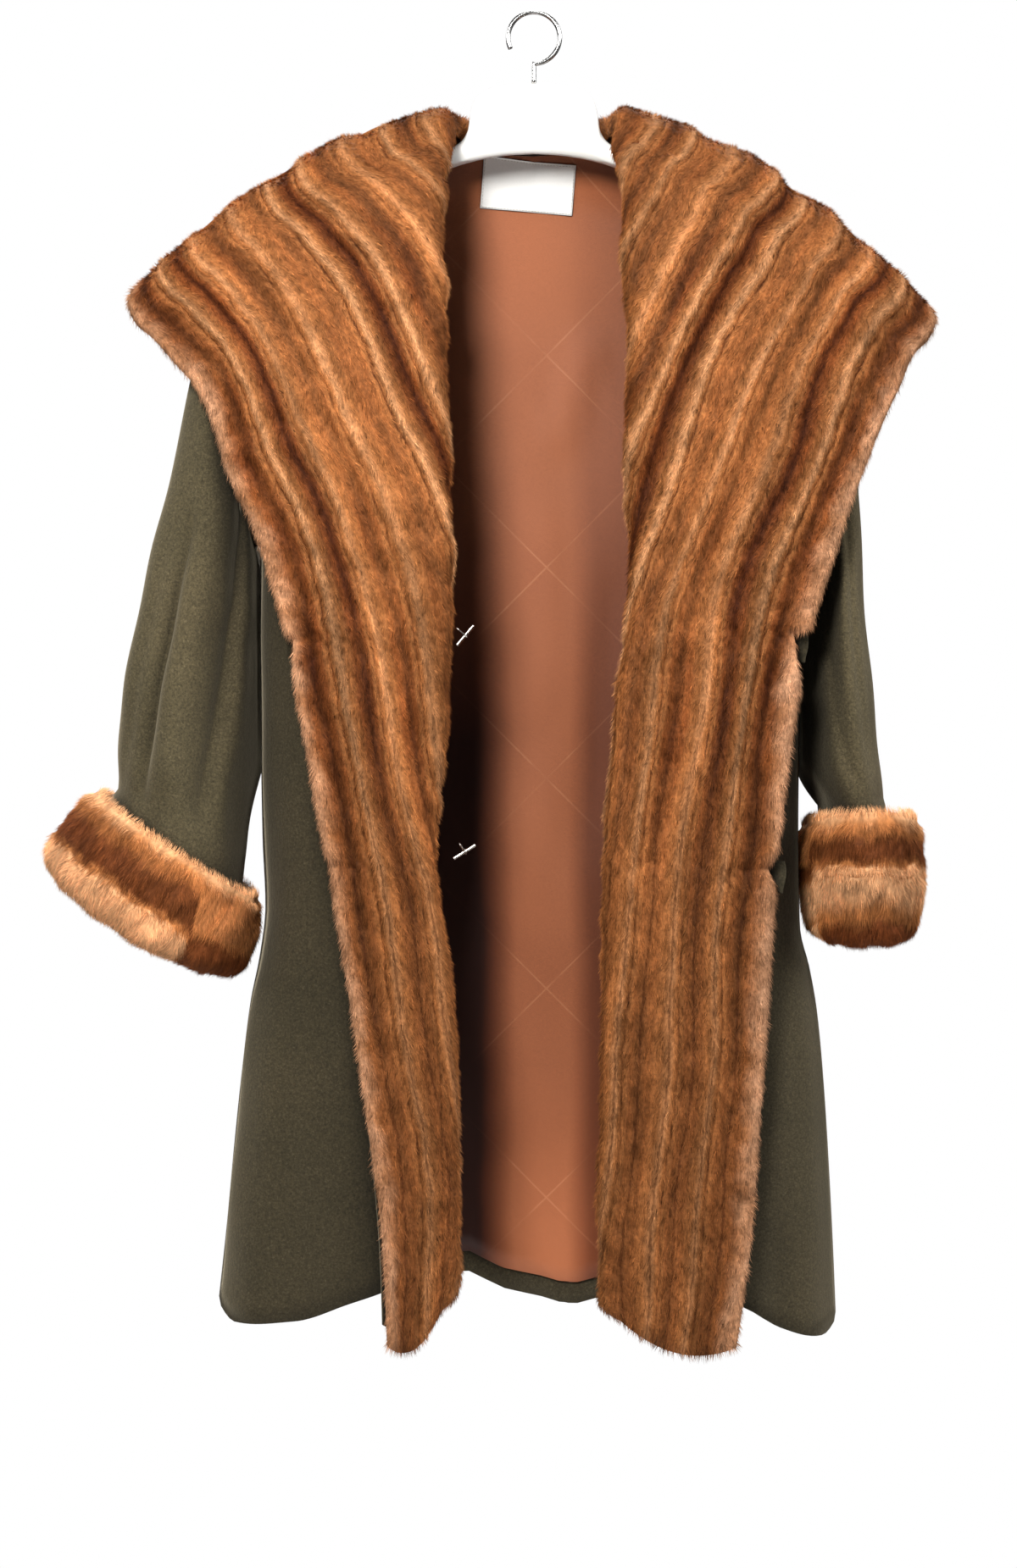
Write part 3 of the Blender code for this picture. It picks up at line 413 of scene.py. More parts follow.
def fur_collar(at, across, round_count):
    """Grid of the back collar from the left ridge, at -1, past the middle, 0, to the right, 1."""
    side = np.where(at < 0, -1.0, 1.0)
    row = (1 - np.abs(at)) * (COLLAR.count - 1)
    near_tip = np.clip(1 - row / 4, 0, 1)
    xn, yn, zn, xe, ye, ze, arch, belly, on = (COLLAR.row(row, n)[:, None] for n in COLLAR.columns)
    ze = ze - (TIP_DROP * near_tip * side)[:, None]
    xe = xe - (2 * near_tip * side)[:, None]
    bow = 4 * across * (1 - across)
    x = side[:, None] * (xn + (xe - xn) * across)
    face = np.stack([x, yn + (ye - yn) * across + belly * bow, zn + (ze - zn) * across + arch * bow], 2)
    round_neck = row / (COLLAR.count - 1) * math.pi / 2
    inward = np.stack([-side * np.cos(round_neck), -np.sin(round_neck), 0 * row], 1)[:, None, :]
    grid = with_fold(face, inward, np.array([0.0, 0.0, -1.0]), STAND_TURN, on[:, :, None], round_count)
    grid[:, :, 1] = np.maximum(grid[:, :, 1], SEAM)
    return grid


def ring(side, rows, at, around, inset=0.0):
    """One ring of a sleeve or cuff, from its outer side round by the front."""
    xo, zo, xi, zi, half, y = (float(rows.row(at, n)) for n in ("xo", "zo", "xi", "zi", "half", "y"))
    pitch, behind = (float(rows.row(at, n)) if n in rows.columns else 0.0 for n in ("pitch", "behind"))
    middle = np.array([side * (xo + xi) / 2, y, (zo + zi) / 2])
    across = np.array([side * (xo - xi) / 2, -behind / 2, (zo - zi) / 2])
    across *= 1 - inset / np.linalg.norm(across)
    deep = (half - inset) * np.array([0.0, -1.0, -pitch])
    return middle + np.cos(around)[:, None] * across + np.sin(around)[:, None] * deep


def beside_body(side, rings, gap):
    """The rings with their points moved out where the sleeve would press into the body."""
    y, z = rings[:, :, 1], rings[:, :, 2]
    deep = np.where(y < 0, DEPTH.along("z", z, "front"), DEPTH.along("z", z, "back"))
    t = np.clip(np.abs(y) / deep, 0, 0.97)
    half = side_x(side, z)
    edge = half * (1 - t**SECTION) ** (1 / SECTION)
    slope = half * (1 - t**SECTION) ** (1 / SECTION - 1) * t ** (SECTION - 1) / deep
    least = edge + gap[:, None] * np.sqrt(1 + slope**2)
    rings[:, :, 0] = side * np.maximum(side * rings[:, :, 0], least)


def cuff(side, count, wall, round_count):
    """Grid of a cuff: down the outer wall, round its lower edge and up again inside."""
    around = np.linspace(0, 2 * math.pi, count, endpoint=False)
    rings = [ring(side, CUFF[side], a, around) for a in np.linspace(0, 1, wall)]
    down = rings[-1].mean(0) - rings[0].mean(0)
    length = np.linalg.norm(down)
    down /= length
    for angle in np.linspace(0, math.pi, round_count + 1)[1:]:
        turned = ring(side, CUFF[side], 1, around, ROLL * (1 - math.cos(angle)))
        rings.append(turned + ROLL * math.sin(angle) * down)
    rings.append(ring(side, CUFF[side], 1 - CUFF_RETURN / length, around, 2 * ROLL))
    return np.array(rings)


def normals(grid, closed=False):
    """Unit normals of a grid of points."""
    along = np.gradient(grid, axis=0)
    if closed:
        around = (np.roll(grid, -1, 1) - np.roll(grid, 1, 1)) / 2
    else:
        around = np.gradient(grid, axis=1)
    return unit(np.cross(around, along))


def moved(grid, distance):
    return grid + normals(grid) * distance


def levels_of_edge(side, heights):
    """Rows, counted in the fur's table, whose free edge is at these heights."""
    dense = np.linspace(0, FUR_FRONT[side].count - 1, 1701)
    return np.interp(-np.array(heights), -FUR_FRONT[side].row(dense, "zo"), dense)


SIDES = {"left": -1, "right": 1}

# --- strips of the fur -------------------------------------------------------------------------
# Seams between the strips, by distance from the free edge. The first lies just outside it.
SEAMS = {
    -1: (-6, 38, 74, 110, 148, 186, 224, 262, 300, 340),
    1: (-4, 42, 80, 118, 150, 186, 222, 258, 294, 336),
}
# Long soft waves that run with the strips: distance from the free edge, height, width, and the
# part of the length they show on, in metres from the top.
WAVES = both(
    "d out width first last",
    [(96, -3.5, 12, 0.0, 0.7), (172, -5, 13, 0.0, 0.6), (20, -2.5, 10, 0.1, 1.2), (60, 2, 12, 0.2, 1.1),
     (214, 3, 16, 0.0, 0.4), (250, -3, 14, 0.0, 0.3)],
    [(98, -4, 12, 0.0, 1.2), (168, -5, 12, 0.0, 0.6), (28, -2.5, 10, 0.1, 1.2), (62, 2.5, 12, 0.1, 1.1),
     (205, 3, 16, 0.0, 0.4), (240, -3, 14, 0.0, 0.3)],
)
FUR_BASE = 3.5  # the pelt's dense underfur reaches this far out of the solid's middle
FUR_SKIN = -5.0  # its leather side
FUR_EDGE = 4.0  # the hairs alone reach the last of the solid's outline
FUR_ROUND = 7.0  # the pelts' edges round off over this distance
CUFF_ROUND = 16.0  # and the cuffs' upper edge over this


def ripple(a, b, seed, count=7):
    """Smooth unevenness of about unit size over two coordinates, with waves about 1 long."""
    rng = np.random.default_rng(seed)
    total = 0.0
    for _ in range(count):
        turn, length, start = rng.uniform(0, 2 * math.pi), rng.uniform(0.7, 1.5), rng.uniform(0, 6.3)
        total = total + np.sin(2 * math.pi * length * (a * math.cos(turn) + b * math.sin(turn)) + start)
    return total / math.sqrt(count / 2)


def strip_number(seams, d, v, seed):
    """Strips counted from the free edge, whole at each seam. The seams wander a little."""
    wander = 2.4 * ripple(d / 120, v / 0.22, seed) + 0.35 * ripple(d / 30, v / 0.03, seed + 1)
    fade = np.clip(d / 20, 0, 1)
    return np.interp(d + wander * fade, seams, np.arange(len(seams)))


def strip_relief(u, v, width, seed):
    """Height of the fur across a strip: a valley at each seam with a rib beside it, coming and going."""
    f = u - np.floor(u)
    strip = np.floor(u)
    near = np.minimum(f, 1 - f) * width
    show = 0.6 + 0.5 * ripple(np.round(u) * 3.1, v / 0.05, seed)
    valley = -1.9 * np.clip(show, 0.1, 1.2) * bell(near / 2.4)
    swell = 0.9 + 0.6 * ripple(strip * 2.3, v / 0.11, seed + 3)
    rib = 1.5 * bell((f * width - 8) / 7) + 0.6 * bell(((1 - f) * width - 6) / 5)
    tufts = 0.35 * ripple(u * 5, v / 0.012, seed + 6) + 0.35 * ripple(u * 2.2, v / 0.03, seed + 9)
    return 0.85 * (valley + rib * swell) + tufts - bell((f - 0.72) / 0.15)


def calm_at(v, spots, reach):
    """0 at these distances along the strips and 1 once past this reach, in metres."""
    share = np.ones_like(v)
    for spot in spots:
        share = share * np.clip(np.abs(v - spot) / reach, 0, 1)
    return eased(share)


def waves(table, d, v):
    """Height of the long soft waves at a place on the fur."""
    total = np.zeros(np.broadcast(d, v).shape)
    for at, out, width, first, last in table.rows():
        show = np.clip((v - first) / 0.08 + 1, 0, 1) * np.clip((last - v) / 0.1, 0, 1)
        total += out * show * bell((d - at) / width)
    return total


# --- meshes ------------------------------------------------------------------------------------
def length_down(grid):
    """Metres along each column of a grid."""
    step = np.linalg.norm(np.diff(grid, axis=0), axis=2)
    return np.concatenate([np.zeros((1, grid.shape[1])), np.cumsum(step, 0)]) * MM


def length_across(grid):
    """Millimetres along each row of a grid."""
    step = np.linalg.norm(np.diff(grid, axis=1), axis=2)
    return np.concatenate([np.zeros((grid.shape[0], 1)), np.cumsum(step, 1)], 1)


def smooth_mesh(name, points, faces):
    """A smoothly shaded mesh of points in millimetres."""
    mesh = bpy.data.meshes.new(name)
    mesh.from_pydata((points * MM).tolist(), [], faces)
    mesh.polygons.foreach_set("use_smooth", np.ones(len(faces), bool))
    return mesh


def ridden(name, mesh, *looks):
    """The mesh as a piece of the frame's one body."""
    for look in looks:
        mesh.materials.append(look)
    item = bpy.data.objects.new(name, mesh)
    bpy.context.scene.collection.objects.link(item)
    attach(item, "root")
    return item


CLOTH_KEEP, PELT_KEEP = 2, 4  # a sheet's wrong side has every second of its columns, a pelt's every fourth


def closed_sheet(name, outer, inner, u, v, looks, wrap, keep):
    """A closed body between two grids with the same rows, the inner one with fewer columns."""
    rows, count = outer.shape[:2]
    picks = np.arange(0, count if wrap else count - 1, keep)
    picks = picks if wrap else np.append(picks, count - 1)
    inner = inner[:, picks]
    few = len(picks)
    points = np.concatenate([outer.reshape(-1, 3), inner.reshape(-1, 3)])
    ends = np.append(picks, count) if wrap else picks
    base = rows * count
    faces, corners, slots = [], [], []

    def add(spots, look):
        """spots: (row, column counted past the end where it wraps, whether it is on the outer grid)"""
        face, corner = [], []
        for j, i, out in spots:
            k = i if out else ends[i]
            face.append(j * count + i % count if out else base + j * few + i % few)
            corner.append((u[j, min(k, count - 1)], v[j, k % count]))
        faces.append(face)
        corners.extend(corner)
        slots.append(look)

    for j in range(rows - 1):
        for i in range(count if wrap else count - 1):
            add([(j, i, 1), (j + 1, i, 1), (j + 1, i + 1, 1), (j, i + 1, 1)], 0)
        for i in range(len(ends) - 1):
            add([(j, i, 0), (j, i + 1, 0), (j + 1, i + 1, 0), (j + 1, i, 0)], 1)
    for i in range(len(ends) - 1):
        run = list(range(ends[i], ends[i + 1] + 1))
        add([(0, k, 1) for k in run] + [(0, i + 1, 0), (0, i, 0)], 0)
        add([(rows - 1, k, 1) for k in run[::-1]] + [(rows - 1, i, 0), (rows - 1, i + 1, 0)], 0)
    if not wrap:
        for j in range(rows - 1):
            add([(j + 1, 0, 1), (j, 0, 1), (j, 0, 0), (j + 1, 0, 0)], 0)
            add([(j, count - 1, 1), (j + 1, count - 1, 1), (j + 1, few - 1, 0), (j, few - 1, 0)], 0)
    a, b, c, d = (points[[f[k] for f in faces]] for k in range(4))
    volume = np.einsum("ij,ij->i", a, np.cross(b, c) + np.cross(c, d)).sum()
    mesh = smooth_mesh(name, points, faces)
    strip = mesh.uv_layers.new(name="Cloth")
    strip.uv.foreach_set("vector", np.array(corners, np.float32).ravel())
    mesh.polygons.foreach_set("material_index", np.array(slots, np.int32))
    if volume < 0:
        mesh.flip_normals()
    return ridden(name, mesh, *looks)


def cloth(name, grid, sign, thickness, looks, replaces, wrap=False):
    """A wool or satin sheet. sign says which way its right side faces along the grid's normals."""
    half = normals(grid, wrap) * sign * thickness / 2
    across, down = length_across(grid) * MM, length_down(grid)
    item = closed_sheet(name, grid + half, grid - half, across, down, looks, wrap, CLOTH_KEEP)
    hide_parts(replaces)


def rounding(grid, edges, reach):
    """1 well inside a grid, falling in a quarter circle to nearly 0 at the edges named."""
    down, across = length_down(grid) / MM, length_across(grid)
    inside = {"top": down, "bottom": down[-1:] - down, "left": across, "right": across[:, -1:] - across}
    far = np.min([inside[edge] for edge in edges.split()], axis=0)
    return np.sqrt(1 - (1 - np.clip(far / reach, 0.02, 1)) ** 2)


FRONT = np.array([0.0, -1.0, 0.0])
HAIR_LENGTH = {False: 7.5, True: 9.0}  # the cuffs, which close round a sleeve, have the longer hairs
HAIR_WIDTH = 0.47
HAIR_RISE = {False: 0.20, True: 0.04}  # radians more that they stand up where they turn away
ROOT_DEPTH = 0.6  # how far under the underfur's surface a hair starts


def hairs(name, grid, sign, way, u, v, count, seed, look, wrap=False):
    """Single tapered hairs rooted on a grid, lying along a direction field. Each is one triangle."""
    rng = np.random.default_rng(seed)
    n = normals(grid, wrap) * sign
    if wrap:
        grid, way, n, u = (np.concatenate([field, field[:, :1]], 1) for field in (grid, way, n, u))
        v = np.concatenate([v, v[:, -1:] + (v[:, -1:] - v[:, -2:-1])], 1)
    edge_a, edge_b = grid[1:, :-1] - grid[:-1, :-1], grid[:-1, 1:] - grid[:-1, :-1]
    area = np.linalg.norm(np.cross(edge_a, edge_b), axis=2)
    chance = np.cumsum(area.ravel())
    cell = np.searchsorted(chance, (np.arange(count) + rng.random(count)) / count * chance[-1])
    cell = np.minimum(cell, area.size - 1)
    j, i = np.unravel_index(cell, area.shape)
    a, b = rng.random(count), rng.random(count)

    def at(field):
        wa, wb = (a, b) if field.ndim == 2 else (a[:, None], b[:, None])
        low = field[j, i] * (1 - wb) + field[j, i + 1] * wb
        high = field[j + 1, i] * (1 - wb) + field[j + 1, i + 1] * wb
        return low * (1 - wa) + high * wa

    root, up, lie = at(grid), unit(at(n)), at(unit(way))
    lie = unit(lie - up * np.einsum("ij,ij->i", up, lie)[:, None], 1e-6)
    side = np.cross(up, lie)
    su, sv = at(u), at(v)
    tuft = ripple(su * 3.2, sv / 0.02, seed + 5)
    swing = 0.16 * tuft + 0.12 * ripple(su * 1.1, sv / 0.06, seed + 6) + rng.normal(0, 0.13, count)
    lift = np.radians(15 + 5 * ripple(su * 4, sv / 0.012, seed + 7) + rng.normal(0, 6, count))
    # Where the fur turns away from the front, its hairs stand up more and are flat to the front, so that
    # the front light reaches them as it does through real fur.
    turning = bell((up[:, 1] - 0.02) / 0.36)[:, None]
    lift = np.clip(lift[:, None] + HAIR_RISE[wrap] * turning, 0.05, 0.9)
    size = (HAIR_LENGTH[wrap] * (0.75 + 0.35 * rng.random(count)))[:, None]
    lie = lie * np.cos(swing)[:, None] + side * np.sin(swing)[:, None]
    side = np.cross(up, lie)
    heading = lie * np.cos(lift) + up * np.sin(lift)
    twist = rng.normal(0, 0.35, count)[:, None]
    breadth = side * np.cos(twist) + up * np.sin(twist)
    flat = np.cross(heading, FRONT)
    flat *= np.sign(np.einsum("ij,ij->i", flat, breadth))[:, None]
    breadth = unit(breadth * (1 - turning) + unit(flat, 1e-3) * turning, 1e-3)
    half = breadth * (HAIR_WIDTH / 2 * (0.8 + 0.4 * rng.random(count)))[:, None]
    root = root - up * ROOT_DEPTH
    points = np.stack([root - half, root + half, root + heading * size], 1)
    face = np.cross(points[:, 1] - points[:, 0], points[:, 2] - points[:, 0])
    turned = np.einsum("ij,ij->i", face, up * (1 - turning) + 2 * FRONT * turning) < 0
    points[turned] = points[turned][:, [1, 0, 2]]
    shade = up + rng.normal(0, 0.10, (count, 3))
    shade += 0.85 * FRONT * turning
    around = unit(np.stack([shade, shade, shade + 0.30 * lie], 1))
    mesh = bpy.data.meshes.new(name)
    mesh.vertices.add(3 * count)
    mesh.vertices.foreach_set("co", (points * MM).astype(np.float32).ravel())
    mesh.loops.add(3 * count)
    mesh.loops.foreach_set("vertex_index", np.arange(3 * count, dtype=np.int32))
    mesh.polygons.add(count)
    mesh.polygons.foreach_set("loop_start", np.arange(0, 3 * count, 3, dtype=np.int32))
    mesh.update()
    strip = mesh.uv_layers.new(name="Cloth")
    strip.uv.foreach_set("vector", np.repeat(np.stack([su, sv], 1), 3, 0).astype(np.float32).ravel())
    tone = mesh.attributes.new("tone", "FLOAT", "POINT")
    tone.data.foreach_set("value", np.repeat(rng.normal(0, 1, count), 3).astype(np.float32))
    spot = np.stack([(i + b) / area.shape[1], (j + a) / area.shape[0]], 1) * 0.98 + 0.01
    corner = np.array([[-0.0012, 0.0], [0.0012, 0.0], [0.0, 0.003]])
    bake = mesh.uv_layers.new(name="OFBake")
    bake.uv.foreach_set("vector", (spot[:, None] + corner).astype(np.float32).ravel())
    mesh.uv_layers.active = strip
    strip.active_render = True
    mesh.polygons.foreach_set("use_smooth", np.ones(count, bool))
    mesh.normals_split_custom_set_from_vertices(around.reshape(-1, 3).tolist())
    item = ridden(name, mesh, look)
    return item


# --- materials ---------------------------------------------------------------------------------
class Value:
    """A node's output, with the arithmetic that adds Math nodes after it."""

    def __init__(self, shade, socket):
        self.shade, self.socket = shade, socket

    def __add__(self, other):
        return self.shade.math("ADD", self, other)

    def __sub__(self, other):
        return self.shade.math("SUBTRACT", self, other)

    def __rsub__(self, other):
        return self.shade.math("SUBTRACT", other, self)

    def __mul__(self, other):
        return self.shade.math("MULTIPLY", self, other)

    def __truediv__(self, other):
        return self.shade.math("DIVIDE", self, other)

    def __pow__(self, other):
        return self.shade.math("POWER", self, other)

    def __abs__(self):
        return self.shade.math("ABSOLUTE", self)


class Shade:
    """A material whose nodes are added one after another."""

    def __init__(self, name, **sockets):
        self.material = bpy.data.materials.new(name)
        self.material.use_nodes = True
        self.tree = self.material.node_tree
        self.shader = self.tree.nodes["Principled BSDF"]
        for socket, value in sockets.items():
            self.shader.inputs[socket.replace("_", " ")].default_value = value

    def node(self, kind, inputs=(), out=0, **settings):
        made = self.tree.nodes.new("ShaderNode" + kind)
        for setting, value in settings.items():
            setattr(made, setting, value)
        for socket, value in dict(inputs).items():
            if isinstance(value, Value):
                self.tree.links.new(value.socket, made.inputs[socket])
            else:
                made.inputs[socket].default_value = value
        return Value(self, made.outputs[out])

    def math(self, operation, *values):
        return self.node("Math", dict(enumerate(values)), operation=operation)

    def noise(self, vector, scale, detail=3.0, rough=0.55):
        return self.node("TexNoise", {"Vector": vector, "Scale": scale, "Detail": detail, "Roughness": rough})

    def mix(self, factor, a, b, blend="MIX"):
        return self.node("Mix", {0: factor, 6: a, 7: b}, out=2, data_type="RGBA", blend_type=blend)

    def times(self, colour, factor):
        return self.mix(1.0, colour, factor, "MULTIPLY")

    def grey(self, value):
        return self.node("CombineColor", {0: value, 1: value, 2: value})

    def ramp(self, factor, stops, kind="EASE"):
        made = self.tree.nodes.new("ShaderNodeValToRGB")
        self.tree.links.new(factor.socket, made.inputs[0])
        band = made.color_ramp
        band.interpolation = kind
        while len(band.elements) < len(stops):
            band.elements.new(0.5)
        for element, (place, colour) in zip(band.elements, stops):
            element.position = place
            element.color = (*colour, 1) if hasattr(colour, "__len__") else (colour, colour, colour, 1)
        return Value(self, made.outputs[0])

    def split(self, vector):
        made = self.tree.nodes.new("ShaderNodeSeparateXYZ")
        self.tree.links.new(vector.socket, made.inputs[0])
        return [Value(self, output) for output in made.outputs]

    def set(self, socket, value):
        self.tree.links.new(value.socket, self.shader.inputs[socket])

    def with_painted_shade(self, colour, closed, open_at, reach):
        """This colour with painted shade: an ambient-occlusion node darkens it in folds and under overhangs,
        where shade falls.
        """
        clear = self.node("AmbientOcclusion", {"Distance": reach}, out=1, samples=6)
        return self.times(colour, self.ramp(clear, [(closed, 0.08), (open_at, 1.0)], "LINEAR"))

    def bump(self, height, distance, strength=1.0):
        self.set("Normal", self.node("Bump", {"Height": height, "Distance": distance, "Strength": strength}))

    def place(self):
        return self.node("TexCoord", out=3)

    def stretched(self, vector, x, y, z=1.0):
        return self.node("VectorMath", {0: vector, 1: (x, y, z)}, operation="MULTIPLY")


SEAM_DARK = (0.062, 0.014, 0.005)
RIM_LIGHT = (0.72, 0.338, 0.145)
PINK_EDGE_LIGHT_PAINTED = (0.68, 0.355, 0.195)
GOLD = (0.42, 0.152, 0.046)
MIDDLE = (0.245, 0.066, 0.016)
DARK = (0.092, 0.021, 0.005)
CUFF_LIGHT = (0.74, 0.385, 0.185)
CUFF_DARK = (0.135, 0.036, 0.010)
# Colours across a strip, from the seam before it to the seam after it.
FRONT_BANDS = [(0.0, MIDDLE), (0.05, GOLD), (0.17, RIM_LIGHT), (0.36, GOLD), (0.54, MIDDLE), (0.72, DARK),
               (0.86, MIDDLE), (0.95, GOLD), (1.0, GOLD)]
CUFF_BANDS = [(0.0, GOLD), (0.05, CUFF_LIGHT), (0.16, CUFF_LIGHT), (0.29, GOLD), (0.42, CUFF_DARK),
              (0.56, CUFF_DARK), (0.70, GOLD), (0.82, CUFF_LIGHT), (0.93, CUFF_LIGHT), (1.0, GOLD)]


def fur_material(name, depth, evenness, bands=FRONT_BANDS, rim=0.62, seam_depth=0.7):
    """Mink: each strip has light and dark bands and a thin broken seam.

    The Cloth UV counts the strips across, from the free edge, and gives metres along them. evenness is
    how far the bands give way to one gold tone in places, rim how many strips the painted pink rim light
    along the free edge reaches.
    """
    s = Shade(name, Roughness=0.68, Sheen_Weight=0.06, Sheen_Roughness=0.4,
              Sheen_Tint=(1.0, 0.62, 0.36, 1), Specular_IOR_Level=0.07)
    uv = s.node("UVMap", uv_map="Cloth")
    count, v, _ = s.split(uv)

    def along(x, y, detail=2.0, rough=0.55):
        return s.noise(s.stretched(uv, x, y), 1.0, detail, rough)

    def swing(noise, amount):
        return (noise - 0.5) * amount

    u = count + swing(along(9, 90), 0.07) + swing(along(1.7, 9.0), 0.12)
    f = s.math("FRACT", u)
    own = s.node("TexWhiteNoise", {"W": s.math("FLOOR", u)}, noise_dimensions="1D")
    even = s.ramp(along(0.9, 7.0) * 0.9 + own * 0.45, [(0.56, 0.0), (0.92, 1.0)])
    even = s.math("MAXIMUM", even, s.ramp(v, [(0.42, 0.0), (0.75, 0.85)]))
    colour = s.mix(even * evenness, s.ramp(f, bands), (*GOLD, 1))
    seam = s.ramp(abs(f - 0.5), [(0.468, 0.0), (0.492, 1.0)])
    broken = s.ramp(along(1.0, 38), [(0.42, 0.08), (0.66, seam_depth)])
    colour = s.mix(seam * broken, colour, (*SEAM_DARK, 1))
    # Lower down the strips are let out again, so finer lines run between the seams.
    fine = s.ramp(abs(s.math("FRACT", u * 2.0 + 0.62) - 0.5), [(0.43, 0.0), (0.485, 1.0)])
    colour = s.mix(fine * s.ramp(v, [(0.35, 0.0), (0.62, 0.55)]), colour, (*DARK, 1))
    # Painted light: the fur is darkened along its strips, from 1.08 at their start to 0.84 a metre on, so the
    # fronts darken from top to bottom as the light falls off downwards.
    value = s.ramp(v, [(0.05, 1.08), (0.5, 1.0), (1.0, 0.84)])
    value = value * s.ramp(count * 0.1, [(0.42, 1.0), (0.72, 0.80)])
    streaks, flow, patches = along(3.4, 5.5, 3.0, 0.6), along(0.85, 3.2, 2.0, 0.5), along(1.9, 30, 3.0, 0.6)
    tufts, ends = along(6.5, 95, 2.0, 0.6), along(17, 300, 2.0, 0.6)
    for noise, amount in ((streaks, 1.6), (flow, 1.3), (patches, 1.0), (tufts, 0.9), (ends, 1.6)):
        value = value * (swing(noise, amount) + 1.0)
    tone = s.node("Attribute", out=2, attribute_name="tone")  # each hair's own, 0 on the underfur
    shade = s.grey(value * (tone * 0.34 + (own * 0.30 + 0.86) * depth))
    # Painted rim light: a pink light along the free edge, fading out within rim strips of it.
    edge = s.ramp(count + swing(along(1.0, 26), 0.5), [(rim * 0.45, 0.9), (rim, 0.0)])
    edge = edge * (swing(patches, 2.2) + 0.85)
    s.set("Base Color", s.mix(edge, s.times(colour, shade), s.times((*PINK_EDGE_LIGHT_PAINTED, 1), shade)))
    return s.material


def wool_material(name, depth):
    """Melton: a felted dark olive face with a short nap. depth scales its colour, for painted lighter and
    darker copies.
    """
    s = Shade(name, Roughness=0.93, Sheen_Weight=0.24, Sheen_Roughness=0.5,
              Sheen_Tint=(0.86, 0.74, 0.52, 1), Specular_IOR_Level=0.18)
    place = s.place()
    nap = s.noise(place, 620, 3.0, 0.75)
    felt = s.noise(s.stretched(place, 260, 260, 150), 1.0, 4.0, 0.65)
    colour = s.ramp(nap, [(0.25, (0.024, 0.020, 0.011)), (0.5, (0.048, 0.040, 0.022)),
                          (0.78, (0.088, 0.074, 0.044))])
    dim, clear = (tuple(c * depth for c in tint) for tint in ((0.86, 0.84, 0.80), (1.16, 1.10, 1.05)))
    colour = s.times(colour, s.ramp(s.noise(place, 7.0), [(0.3, dim), (0.7, clear)]))
    grain = s.ramp(s.noise(place, 420, 2.0, 0.7), [(0.32, (0.78, 0.78, 0.79)), (0.68, (1.24, 1.22, 1.19))])
    flecks = s.ramp(s.noise(place, 900, 1.0), [(0.70, 0.0), (0.78, 1.0)])
    colour = s.mix(flecks * 0.25, s.times(colour, grain), (0.10, 0.090, 0.064, 1))
    # Painted shade: the wool is darkened in folds and where it runs in beside the furs and sleeves.
    s.set("Base Color", s.with_painted_shade(colour, 0.42, 0.92, 0.09))
    s.bump(nap * 0.5 + felt, 0.0006, 0.7)
    return s.material


LATTICE = 0.185  # diagonal of the diamonds woven into the lining
LATTICE_AT = (0.0117, -0.281)  # one of its crossings


def satin_material(name):
    """Copper satin with a fine weave and a faint lattice of thin woven lines, with painted shadow where it
    runs in behind the fronts.
    """
    s = Shade(name, Roughness=0.52, Sheen_Weight=0.04, Sheen_Roughness=0.35, Specular_IOR_Level=0.22)
    place = s.place()
    x, _, z = s.split(place)
    weave = s.noise(s.stretched(place, 1500, 300, 5200), 1.0, 2.0)
    cloud = s.noise(place, 6.0, 2.0)
    colour = s.ramp(cloud, [(0.3, (0.44, 0.138, 0.056)), (0.7, (0.51, 0.164, 0.068))])
    colour = s.times(colour, s.grey(weave * 0.28 + 0.86))
    over, up = (x - LATTICE_AT[0]) / LATTICE, (z - LATTICE_AT[1]) / LATTICE
    thin = [(0.0, 1.0), (0.0035, 1.0), (0.0055, 0.0)]
    lines = [s.ramp(abs(s.math("FRACT", way + 40.5) - 0.5), thin, "LINEAR") for way in (over + up, over - up)]
    broken = s.ramp(s.noise(place, 22.0, 2.0), [(0.38, 0.25), (0.58, 1.0)])
    colour = s.mix(s.math("MAXIMUM", *lines) * (broken * 0.34), colour, (0.80, 0.34, 0.17, 1))
    # Painted shadow: the lining is darkened where it runs in behind the turned-back fronts and lies in their
    # shade, most of all low down. The ramps take places from 0 to 1, so they are read half a metre to the
    # right of where they are.
    beside = x + (cloud - 0.5) * 0.02 + 0.5
    low = s.ramp(z * -1.0, [(0.20, 0.16), (0.42, 0.50), (0.62, 1.0)], "LINEAR")
    inward = (1.0 - low) * 0.028
    left = s.ramp(beside + inward, [(0.33, 1.0), (0.39, 0.08), (0.452, 0.08), (0.484, 1.0)], "LINEAR")
    right = s.ramp(beside, [(0.532, 1.0), (0.552, 0.42), (0.60, 0.32), (0.66, 1.0)], "LINEAR")
    lit = 1.0 - low * (1.0 - s.math("MINIMUM", left, right))
    colour = s.times(colour, s.node("CombineColor", {0: lit, 1: lit**1.2, 2: lit**1.35}))
    # Painted shade: darker still in deep folds and under the fronts, by ambient occlusion.
    s.set("Base Color", s.with_painted_shade(colour, 0.30, 0.56, 0.30))
    s.bump(weave, 0.00025, 0.5)
    return s.material


def grained(name, stretch, detail, colours, depth=0.0, strength=1.0, **sockets):
    """A plain material whose one noise gives its two colours and its relief."""
    s = Shade(name, **sockets)
    grain = s.noise(s.stretched(s.place(), *stretch), 1.0, detail)
    s.set("Base Color", s.ramp(grain, colours))
    if depth:
        s.bump(grain, depth, strength)
    return s.material


